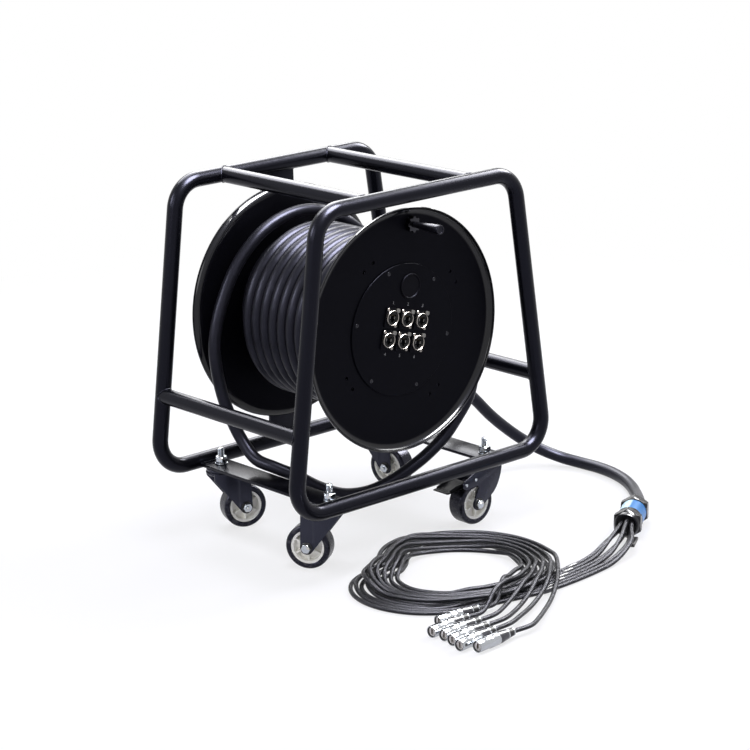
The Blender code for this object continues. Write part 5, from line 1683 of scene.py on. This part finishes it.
@dataclass
class LooseCable:
    """The trunk's last turn and loose loop, the gland, and the six tails to their plugs.

    The route's points are the part's own, written in millimetres and used in metres.
    """

    trunk: float = 9.75 * MM
    turn_radius: float = 130.25 * MM
    turn_slot: float = 109.75 * MM
    leave_angle: float = math.radians(22)
    start_angle: float = math.radians(-14)
    tail: float = 3.4 * MM
    tail_clear: float = 0.7 * MM
    tail_sag: float = 1.5 * MM
    tail_spacing: float = 34 * MM
    gland_length: float = 92 * MM
    gland_radius: float = 20 * MM
    gland_mouth: float = 14.4 * MM
    gland_nut: float = 42 * MM
    gland_nut_height: float = 24 * MM
    gland_height: float = 24.6 * MM
    gland_start: tuple = (314 * MM, -317 * MM)
    gland_heading: float = math.radians(213)
    trunk_seat: float = 14 * MM
    tail_seat: float = 9 * MM
    seat_ring: float = 8 * MM
    tie: tuple = (14 * MM, 35 * MM)
    sleeve_start: float = 150 * MM
    sleeve_step: float = 24 * MM
    sleeve_length: float = 22 * MM
    plug: float = 9.5 * MM
    plug_length: float = 76 * MM
    contact: float = 0.9 * MM
    coil_centre: tuple = (-66 * MM, -287 * MM)
    coil_heading: float = math.radians(-41.3)
    coil_start: float = -62
    coil_step: int = 15
    layers: tuple = (270, 435, 660)
    turn_out: tuple = (119, -80)
    turn_spread: tuple = (34, -6)
    seats: tuple = ((-0.87, -0.5), (-0.87, 0.5), (0, -1), (0, 1), (0.87, -0.5), (0.87, 0.5))
    lead: tuple = ((266, 92), (240, 52), (208, 13), (166, -30), (120, -68))
    route: tuple = (
        (139, -109, 343), (155, -109, 296), (162, -108, 250), (155, -107, 206), (121, -104, 161),
        (86, -100, 130), (43, -92, 105), (5, -80, 85), (-45, -62, 73), (-80, -43, 80),
        (-110, -18, 98), (-136, 12, 119), (-147, 44, 120), (-150, 76, 138), (-154, 100, 168),
        (-164, 114, 212), (-171, 121, 262), (-172, 123, 306), (-158, 124, 356), (-126, 123, 417),
        (-78, 119, 465), (-22, 114, 489), (34, 109, 488), (84, 103, 466), (127, 96, 427),
        (153, 86, 376), (165, 74, 325), (178, 61, 280), (200, 48, 240), (228, 38, 206),
        (257, 33, 174), (290, 28, 140), (326, 24, 102), (366, 17, 66), (398, 3, 40),
        (424, -18, 22), (443, -48, 12), (450, -84, 10.2), (449, -122, 10.2), (440, -162, 10.2),
        (422, -202, 10.2), (394, -240, 12), (362, -276, 18), (338, -300, 23))
    plugs: tuple = ((-219, -427, 177), (-253, -450, 184), (-250, -471, 184), (-254, -492, 184),
                    (-260, -514, 186), (-246, -535, 184))
    mean: tuple = ((0, 118), (60, 144), (88, 140), (112, 122), (136, 91), (158, 104), (184, 138),
                   (228, 166), (270, 142), (300, 134), (350, 117), (410, 107), (460, 107), (496, 91),
                   (525, 108), (560, 130), (620, 143), (660, 136))
    half_width: tuple = ((0, 21), (60, 23), (136, 20.5), (184, 23), (300, 23), (350, 20), (410, 28),
                         (460, 26), (496, 20.5), (560, 28), (660, 27))
    shift: Matrix = field(default_factory=lambda: Matrix.Translation((0, MIDDLE_Y, 0)))

    @property
    def tail_floor(self) -> float:
        """The height of a tail's middle where it lies on the floor."""
        return self.tail + GAP

    def gland_point(self, along: float, across: float = 0.0, height: float = 0.0) -> Place:
        """A place in the gland's frame.

        Args:
            along: how far it is from where the trunk enters the gland, towards the tails.
            across: how far to the side.
            height: how far above the gland's middle.

        Returns:
            The place.
        """
        cosine, sine = math.cos(self.gland_heading), math.sin(self.gland_heading)
        return (self.gland_start[0] + along * cosine - across * sine,
                self.gland_start[1] + along * sine + across * cosine, self.gland_height + height)

    def trunk_points(self) -> list[tuple]:
        """The trunk from its last turn beside the front disc to the gland.

        Returns:
            The part's own points, before they are smoothed.
        """
        sweep_angle = 2 * math.pi - (self.leave_angle - self.start_angle)
        count = round(sweep_angle / (2 * math.pi) * 24)
        angles = [self.start_angle - sweep_angle * step / count for step in range(count + 1)]
        turn = [(x, -self.turn_slot, DRUM_HEIGHT + z)
                for x, z in ((self.turn_radius * math.cos(angle), self.turn_radius * math.sin(angle))
                             for angle in angles)]
        loose = [(x * MM, y * MM, z * MM) for x, y, z in self.route]
        loose += [(*self.gland_start, self.gland_height), self.gland_point(self.trunk_seat)]
        return turn[:-1] + smooth_route([turn[-1]] + loose, 4 * self.trunk)

    @staticmethod
    def between(knots: Sequence[Place], travel: float) -> float:
        """A value on a smooth curve.

        Args:
            knots: pairs of travel and value that the curve passes through.
            travel: where the value is wanted.

        Returns:
            The value.
        """
        places, values = (np.array(part, float) for part in zip(*knots))
        slopes = np.gradient(values, places)
        index = min(int(np.searchsorted(places, travel, "right")), len(places) - 1) - 1
        span = places[index + 1] - places[index]
        t = (travel - places[index]) / span
        return ((1 + 2 * t) * (1 - t) ** 2 * values[index] + t * (1 - t) ** 2 * span * slopes[index]
                + t * t * (3 - 2 * t) * values[index + 1] + t * t * (t - 1) * span * slopes[index + 1])

    def coil_place(self, across: float, away: float) -> tuple[float, float, float]:
        """A place on the floor from its distances across and away from the coil's middle, in millimetres."""
        cosine, sine = math.cos(self.coil_heading) * MM, math.sin(self.coil_heading) * MM
        return (self.coil_centre[0] + across * cosine - away * sine,
                self.coil_centre[1] + across * sine + away * cosine, self.tail_floor)

    def coil_point(self, travel: float, share: float) -> tuple[float, float, float]:
        """Where a tail lies in the coil.

        Args:
            travel: how many degrees round it is.
            share: its lane, from -1, inside, to 1, outside.

        Returns:
            The place.
        """
        radius = self.between(self.mean, travel) + share * self.between(self.half_width, travel)
        angle = math.radians(self.coil_start - travel)
        return self.coil_place(radius * math.cos(angle), radius * math.sin(angle))

    def plug_end(self, number: int, run: float = 0.0) -> tuple[float, float, float]:
        """The middle of a plug's cable end, or a place some way behind it."""
        x, y, heading = self.plugs[number]
        turn = math.radians(heading)
        back = self.plug_length + 2 * GAP + run
        return x * MM - back * math.cos(turn), y * MM - back * math.sin(turn), self.plug + GAP

    def tail_lead(self, number: int) -> list[tuple]:
        """A tail's way from the gland's ring of six to the flat row in which the coil begins.

        Args:
            number: which tail, from 0.

        Returns:
            Its points.
        """
        share = number / 2.5 - 1
        seat = self.gland_length - self.tail_seat
        middle = [self.gland_point(seat), self.gland_point(seat + 14 * MM)]
        middle += [self.coil_place(*spot) for spot in self.lead]
        middle += [self.coil_point(travel, 0) for travel in (0, 12)]
        floor = middle[-1][2]
        lead = []
        for index, spot in enumerate(middle[:-1]):
            along = np.subtract(middle[index + 1], middle[max(index - 1, 0)])[:2]
            left = np.array([-along[1], along[0]]) / np.linalg.norm(along)
            opened = math.radians(90 * min(1, max(0, index - 1) / 2.2))
            across, rise = (self.seat_ring * part * math.cos(opened) for part in self.seats[number])
            across += share * self.half_width[0][1] * MM * math.sin(opened)
            low = floor + (self.gland_height - floor) * math.cos(opened) + rise
            lead.append((spot[0] + left[0] * across, spot[1] + left[1] * across, max(floor, low)))
        return lead

    def tail_layers(self, number: int) -> list[list[tuple]]:
        """A tail's way over the floor: the coil's two layers, and on to the plug.

        Args:
            number: which tail, from 0.

        Returns:
            The points of its three parts.
        """
        share = number / 2.5 - 1
        start, middle, end = self.layers
        runs = ((self.coil_step, start), (start, middle), (middle, end))
        first, second, third = ([self.coil_point(travel, share)
                                 for travel in range(low, high + 1, self.coil_step)] for low, high in runs)
        first = self.tail_lead(number) + first
        turn = [spot + share * spread for spot, spread in zip(self.turn_out, self.turn_spread)]
        third.append(self.coil_place(*turn))
        third += [self.plug_end(number, run) for run in ((32 + 3 * number) * MM, 12 * MM, 0)]
        return [smooth_route(part, self.tail_spacing) for part in (first, second, third)]

    @staticmethod
    def densely(points: Sequence[Place], step: float) -> tuple[np.ndarray, np.ndarray]:
        """Points along straight runs, no further apart than step, with their place along the line."""
        line, places = [], []
        for index, (start, end) in enumerate(zip(points, points[1:])):
            count = max(1, math.ceil(np.linalg.norm(np.subtract(end, start)) / step))
            for part in range(count):
                line.append(np.add(start, np.subtract(end, start) * part / count))
                places.append(index + part / count)
        line.append(np.array(points[-1], float))
        places.append(len(points) - 1)
        return np.array(line), np.array(places)

    def lay_over(self, points: list, fixed: int, kept: int, below: np.ndarray) -> list[tuple]:
        """Lift a line until it clears what lies below it.

        Args:
            points: the line's points.
            fixed: how many of its first points stay.
            kept: how many of its last points stay.
            below: points of the lines that it crosses.

        Returns:
            The lifted points.
        """
        heights = np.array([max(point[2], self.tail_floor) for point in points])
        clear = 2 * self.tail + self.tail_clear
        for _ in range(60):
            raised = [(x, y, z) for (x, y, _), z in zip(points, heights)]
            line, places = self.densely(raised, self.tail)
            flat = np.linalg.norm(line[:, None, :2] - below[None, :, :2], axis=2)
            over = np.sqrt(np.maximum(clear ** 2 - flat ** 2, 0))
            touching = (flat < clear) & (np.abs(line[:, None, 2] - below[None, :, 2]) < over)
            lift = np.where(touching, below[None, :, 2] + over - line[:, None, 2], 0).max(axis=1)
            lift[(places < fixed - 0.5) | (places > len(points) - kept - 0.5)] = 0
            if lift.max() < 0.02 * MM:
                break
            for index in range(fixed, len(points) - kept):
                weight = np.maximum(1 - np.abs(places - index), 0)
                heights[index] += (lift * weight / (weight ** 2 + (1 - weight) ** 2)).max()
            last = len(points) - max(kept, 1)
            level = (heights[fixed - 1:last - 1] + heights[fixed + 1:last + 1]) / 2
            heights[fixed:last] = np.maximum(heights[fixed:last], level - self.tail_sag)
        return [(x, y, z) for (x, y, _), z in zip(points, heights)]

    def tail_points(self) -> list[list[tuple]]:
        """All six tails, each layer of the coil laid over what lies there already."""
        tails = [[] for _ in range(6)]
        layers = [self.tail_layers(number) for number in range(6)]
        for stage in range(3):
            for number, tail in enumerate(tails):
                below = [self.densely(other, self.tail)[0] for other in tails if other and other is not tail]
                points, fixed = layers[number][stage], 4
                if tail:
                    own, places = self.densely(tail, self.tail)
                    below.append(own[places < len(tail) - 5])
                    points, fixed = [tail[-1]] + points[1:], 1
                obstacles = np.concatenate(below or [np.ones((1, 3))])
                laid = self.lay_over(points, fixed, 2 if stage == 2 else 0, obstacles)
                tail += laid[1:] if tail else laid
        return tails

    def cord(self, name: str, points: list, radius: float, finish: Finish, node: str, sides: int) -> bpy.types.Object:
        """Make one free cord.

        Args:
            name: the piece's name.
            points: its line, in the route's frame.
            radius: its radius.
            finish: its finish.
            node: the model's node that it shows instead of.
            sides: how many sides it has.

        Returns:
            The cord.
        """
        line = [tuple(self.shift @ Vector(point)) for point in points]
        item = place(name, sweep(name, line, radius, sides), finish, Body.FRAME, node)
        return item

    def gland(self) -> list[bpy.types.Object]:
        """The splitter: a sleeve with a blue band between two domed hex nuts, and the dark tie under it.

        Returns:
            Its pieces.
        """
        turn = Matrix.Rotation(self.gland_heading, 4, "Z")
        spot = self.shift @ Matrix.Translation(self.gland_point(0)) @ turn
        spot = spot @ Matrix.Rotation(math.pi / 2, 4, "Y")
        radius, end, deep = self.gland_radius, self.gland_length, self.gland_nut_height
        parts = [lathe("sleeve", rectangle(0, radius, 8 * MM, end - 8 * MM), 72)]
        for low, way, mouth in ((0, 1, 11.2 * MM), (end, -1, self.gland_mouth)):
            dome = offsets((mouth, 0), (0, 9), (0, 1.2), (1.2, 0.2))
            dome += offsets((0, 0), (17.5, 0.2), (19.2, 2.2), (20, 6), (20, 9))
            parts.append(ring("dome", [(r, low + way * z) for r, z in dome]))
            ends = sorted((low + way * 6 * MM, low + way * deep))
            parts.append(hexagon("gland_nut", self.gland_nut, *ends))
            flange = rectangle(radius, radius + 1.4 * MM, deep, deep + 2.4 * MM)
            parts.append(ring("gland_ring", [(r, low + way * z) for r, z in flange]))
        body = place("cable_gland_body", merged("gland", *parts), GLAND_METAL, Body.FRAME, "cable_gland",
                     matrix=spot)
        film = rectangle(radius + 0.1 * MM, radius + 0.5 * MM, deep + 3 * MM, end - deep - 3 * MM)
        band = place("cable_gland_band", ring("band", film, 72), BAND, Body.FRAME, matrix=spot)
        fill = lathe("fill", rectangle(0, self.gland_mouth, end - 10 * MM, end - 9 * MM), 40)
        seal = place("cable_gland_seal", fill, SEAL_PLASTIC, Body.FRAME, matrix=spot)
        (wide, long), side, start = self.tie, 4 * MM, end - 4 * MM
        strip = rectangle(self.gland_height - 6 * MM, self.gland_height - 1 * MM, side, side + wide)
        tie = prism("tie", rounded(strip, 1.2 * MM), start, start + long, 0.5 * MM)
        strap = place("cable_gland_tie", tie, SEAL_PLASTIC, Body.FRAME, matrix=spot)
        return [body, band, seal, strap]

    def connector(self, number: int, meshes: dict[str, bpy.types.Mesh]) -> list[bpy.types.Object]:
        """One plug's pieces.

        Args:
            number: which tail it is on, from 0.
            meshes: the meshes by kind, which all six share.

        Returns:
            The pieces.
        """
        x, y, heading = self.plugs[number]
        turn = Matrix.Rotation(math.radians(heading), 4, "Z") @ Matrix.Rotation(math.pi / 2, 4, "Y")
        nose = self.shift @ Matrix.Translation((x * MM, y * MM, self.plug + GAP))
        spot = nose @ turn @ shift(z=-self.plug_length)
        named = number + 1
        finishes = {"shell": NICKEL, "body": SMOKY_PLASTIC, "boot": BOOT_RUBBER, "insert": CLEAR_PLUG,
                    "contacts": SHADED_GOLD, "lip": SEAL_PLASTIC}
        nodes = {"shell": [f"cable_plug_{named}"]}
        return [place(f"plug_{kind}_{named}", meshes[kind], finish, Body.FRAME, *nodes.get(kind, []),
                      matrix=spot) for kind, finish in finishes.items()]

    def plug_meshes(self) -> dict[str, bpy.types.Mesh]:
        """The plugs' shared meshes, from the cable end at nought to the nose.

        Returns:
            The meshes by kind.
        """
        radius, end, boot = self.plug, self.plug_length, 0.36 * self.plug_length
        rear = boot + 7 * MM
        nose = ((0, -23), (-0.25, -22.6), (-0.7, -22), (-0.7, -0.9), (-1, -0.3), (-1.5, 0), (-1.9, -0.4),
                (-1.9, -8))
        shell = [*offsets((0, rear), (7.6, 0), (9.2, 0)), (radius, rear + 0.8 * MM),
                 *offsets((radius, end), *nose), (7.6 * MM, end - 8 * MM)]
        lip = offsets((radius, end), (-1.95, -7), (-1.95, -0.9), (-2.9, -0.9), (-2.9, -7))
        body = [*offsets((0, 0), (6.4, 15.6), (7.3, 15.6)), *offsets((0, boot), (8.4, -3), (9, 0)),
                *offsets((0, rear), (9.1, -0.3), (6.4, -0.3))]
        rings = []
        for low, high, size in ((0.6, 2.8, 5.9), (13.2, 15.6, 7.3)):
            edge = offsets((0, 0), (5, low), (size - 0.4, low), (size, low + 0.4), (size, high - 0.4),
                           (size - 0.4, high), (5, high))
            rings.append(ring("ring", edge, 48))
        rubber = [(self.tail, 2.9 * MM), (5.6 * MM, 2.9 * MM)]
        for step in range(4):
            rubber += offsets(((5.8 + 0.25 * step) * MM, (3.4 + 2.3 * step) * MM),
                              (0, 0), (0, 1.4), (-0.5, 1.6), (-0.5, 2.1))
        rubber += [(6.6 * MM, 13 * MM), (self.tail, 13 * MM)]
        disc = prism("insert", circle(radius - 3 * MM, 40), end - 6 * MM, end - 2.2 * MM, 0.3 * MM)
        mouth = prism("mouth", oblong(8.6 * MM, 5.4 * MM, 0.6 * MM, (0, 0.4 * MM), 2), end - 5 * MM, end)
        pins = []
        for step in CONTACTS:
            left, right = (step - 0.22) * self.contact, (step + 0.22) * self.contact
            pin = rectangle(left, right, -2.2 * MM, -1.8 * MM)
            pins.append(prism("pin", pin, end - 4.9 * MM, end - 2.6 * MM))
        return {"shell": merged("shell", ring("shell", shell, 72), *rings), "body": ring("body", body, 56),
                "boot": ring("boot", rubber, 48), "insert": bored(disc, mouth),
                "contacts": merged("contacts", *pins), "lip": ring("lip", lip, 56)}

    def sleeve(self, number: int, points: list) -> bpy.types.Object:
        """A shrink sleeve on a tail.

        Args:
            number: the tail, from 0.
            points: the tail's line.

        Returns:
            The sleeve.
        """
        radii = [self.tail + size * MM for size in (0.2, 0.6, 0.7, 0.7, 0.7, 0.7, 0.7, 0.6, 0.2)]
        start = self.sleeve_start + number * self.sleeve_step
        spots = along_line(points, np.linspace(start, start + self.sleeve_length, len(radii)))
        sleeve = sweep("sleeve", [self.shift @ Vector(spot) for spot in spots], radii, 20)
        return place(f"tail_sleeve_{number + 1}", sleeve, SLEEVE, Body.FRAME)

    def build(self) -> None:
        gland = self.gland()
        trunk = smooth_route(self.trunk_points(), 8 * MM)
        self.cord("trunk_cable_loose", trunk, self.trunk, TRUNK_JACKET, "trunk_cable", 24)
        meshes = self.plug_meshes()
        for number, points in enumerate(self.tail_points()):
            line, node = smooth_route(points, 6 * MM), f"cable_tail_{number + 1}"
            pieces = self.connector(number, meshes)
            pieces.append(self.sleeve(number, line))
            self.cord(f"{node}_braided", line, self.tail, TAIL_JACKET, node, 14)


# The stage


@dataclass
class Camera:
    """The photograph's camera."""

    azimuth: float = -41.3
    elevation: float = 15.85
    roll: float = -1.51
    place: tuple = (-2.49386, -2.8911, 1.3283)
    focal: float = 2531.62
    frame_size: int = 750
    sensor: float = 36
    reach: tuple = (0.1, 60)

    def build(self) -> None:
        """Make the camera and hand it to the scene."""
        turn, rise, roll = (math.radians(value) for value in (self.azimuth, self.elevation, self.roll))
        back = Vector((math.sin(turn) * math.cos(rise), -math.cos(turn) * math.cos(rise), math.sin(rise)))
        level = Vector((0, 0, 1)).cross(back).normalized()
        high = back.cross(level)
        right = level * math.cos(roll) + high * math.sin(roll)
        up = high * math.cos(roll) - level * math.sin(roll)
        data = bpy.data.cameras.new("camera")
        data.sensor_width = self.sensor
        data.lens = self.focal * self.sensor / self.frame_size
        data.clip_start, data.clip_end = self.reach
        camera = bpy.data.objects.new("camera", data)
        bpy.context.collection.objects.link(camera)
        camera.matrix_world = Matrix.Translation(self.place) @ Matrix((right, up, back)).transposed().to_4x4()
        bpy.context.scene.camera = camera


@dataclass
class Lamp:
    """One soft lamp, turned to the reel."""

    name: str
    place: Place
    size: float
    power: float
    only_gloss: bool = False
    aim: Place = (0.05, 0, 0.25)

    def build(self) -> None:
        """Make the lamp."""
        data = bpy.data.lights.new(self.name, "AREA")
        data.shape, data.size, data.energy = "DISK", self.size, self.power
        lamp = bpy.data.objects.new(self.name, data)
        bpy.context.collection.objects.link(lamp)
        lamp.location = self.place
        lamp.visible_diffuse = not self.only_gloss
        lamp.rotation_mode = "QUATERNION"
        lamp.rotation_quaternion = (Vector(self.aim) - Vector(self.place)).to_track_quat("-Z", "Y")


@dataclass
class Stage:
    """The pale floor, the white surroundings and the lamps."""

    floor_size: float = 30.0
    floor_colour: Colour = (0.80, 0.80, 0.90)
    ambient: float = 0.45
    floor_glow: float = 0.72
    fade: tuple = (0.95, 1.9)
    lamps: tuple = (Lamp("overhead", (-0.2, -0.2, 2.7), 1.2, 38),
                    Lamp("right_key", (2.5, -0.5, 2.3), 1.3, 62),
                    Lamp("behind", (1.7, 2.2, 1.9), 1.5, 46),
                    Lamp("left_fill", (-3.2, -0.6, 1.6), 1.6, 26),
                    Lamp("front_sheen", (0.3, -1.1, 2.5), 1.6, 640, True),
                    Lamp("right_sheen", (2.4, 0.2, 2.1), 1.4, 150, True),
                    Lamp("left_sheen", (-3.1, 1.2, 1.9), 1.4, 90, True),
                    Lamp("back_sheen", (0.5, 1.5, 2.5), 2.4, 190, True))

    @staticmethod
    def seen(graph: Graph) -> Wire:
        """One for rays from the camera, off gloss or through glass."""
        path = graph.node("ShaderNodeLightPath").socket.node.outputs
        rays = [Wire(graph, path[name]) for name in ("Is Camera Ray", "Is Glossy Ray", "Is Transmission Ray")]
        return (rays[0] + rays[1] + rays[2]).clamped()

    def floor(self) -> None:
        """A pale floor that keeps the reel's shadow."""
        half = self.floor_size / 2
        mesh = bpy.data.meshes.new("floor")
        mesh.from_pydata([(x, y, 0) for x, y in rectangle(-half, half, -half, half)], [], [(0, 1, 2, 3)])
        material = bpy.data.materials.new("pale_floor")
        material.use_nodes = True
        graph = Graph(material.node_tree)
        graph.tree.nodes.clear()
        paint = graph.node("ShaderNodeBsdfDiffuse", {}, {"Color": (*self.floor_colour, 1)})
        glow = graph.node("ShaderNodeEmission", {}, {"Color": (1, 1, 1, 1), "Strength": 1.0})
        away = graph.node("ShaderNodeVectorMath", {"operation": "LENGTH"}, {0: graph.place()}, 1)
        share = graph.mask(away, *self.fade) * (1 - self.floor_glow) + self.floor_glow
        both = graph.node("ShaderNodeMixShader", {}, {0: self.seen(graph) * share, 1: paint, 2: glow})
        output = graph.tree.nodes.new("ShaderNodeOutputMaterial")
        graph.tree.links.new(both.socket, output.inputs[0])
        mesh.materials.append(material)
        floor = bpy.data.objects.new("floor", mesh)
        bpy.context.collection.objects.link(floor)

    def world(self) -> None:
        """Plain white to the eye and in reflections, and a lower even light on the reel."""
        world = bpy.data.worlds.new("studio")
        world.use_nodes = True
        bpy.context.scene.world = world
        graph = Graph(world.node_tree)
        graph.tree.nodes.clear()
        strength = self.seen(graph) * (1 - self.ambient) + self.ambient
        sky = graph.node("ShaderNodeBackground", {}, {"Color": (1, 1, 1, 1), "Strength": strength})
        output = graph.tree.nodes.new("ShaderNodeOutputWorld")
        graph.tree.links.new(sky.socket, output.inputs[0])

    def build(self) -> None:
        """Make the stage."""
        bpy.context.scene.view_settings.view_transform = "Standard"
        self.floor()
        self.world()
        for lamp in self.lamps:
            lamp.build()


def main() -> None:
    """Build the reel's looks, piece by piece."""
    Camera().build()
    Stage().build()
    LooseCable().build()
    TubeFrame().build()
    for corner in Corner:
        Caster(corner).build()
    Drum().build()
    Winding().build()
    Panel().build()
    Crank().build()


if __name__ == "__main__":
    main()
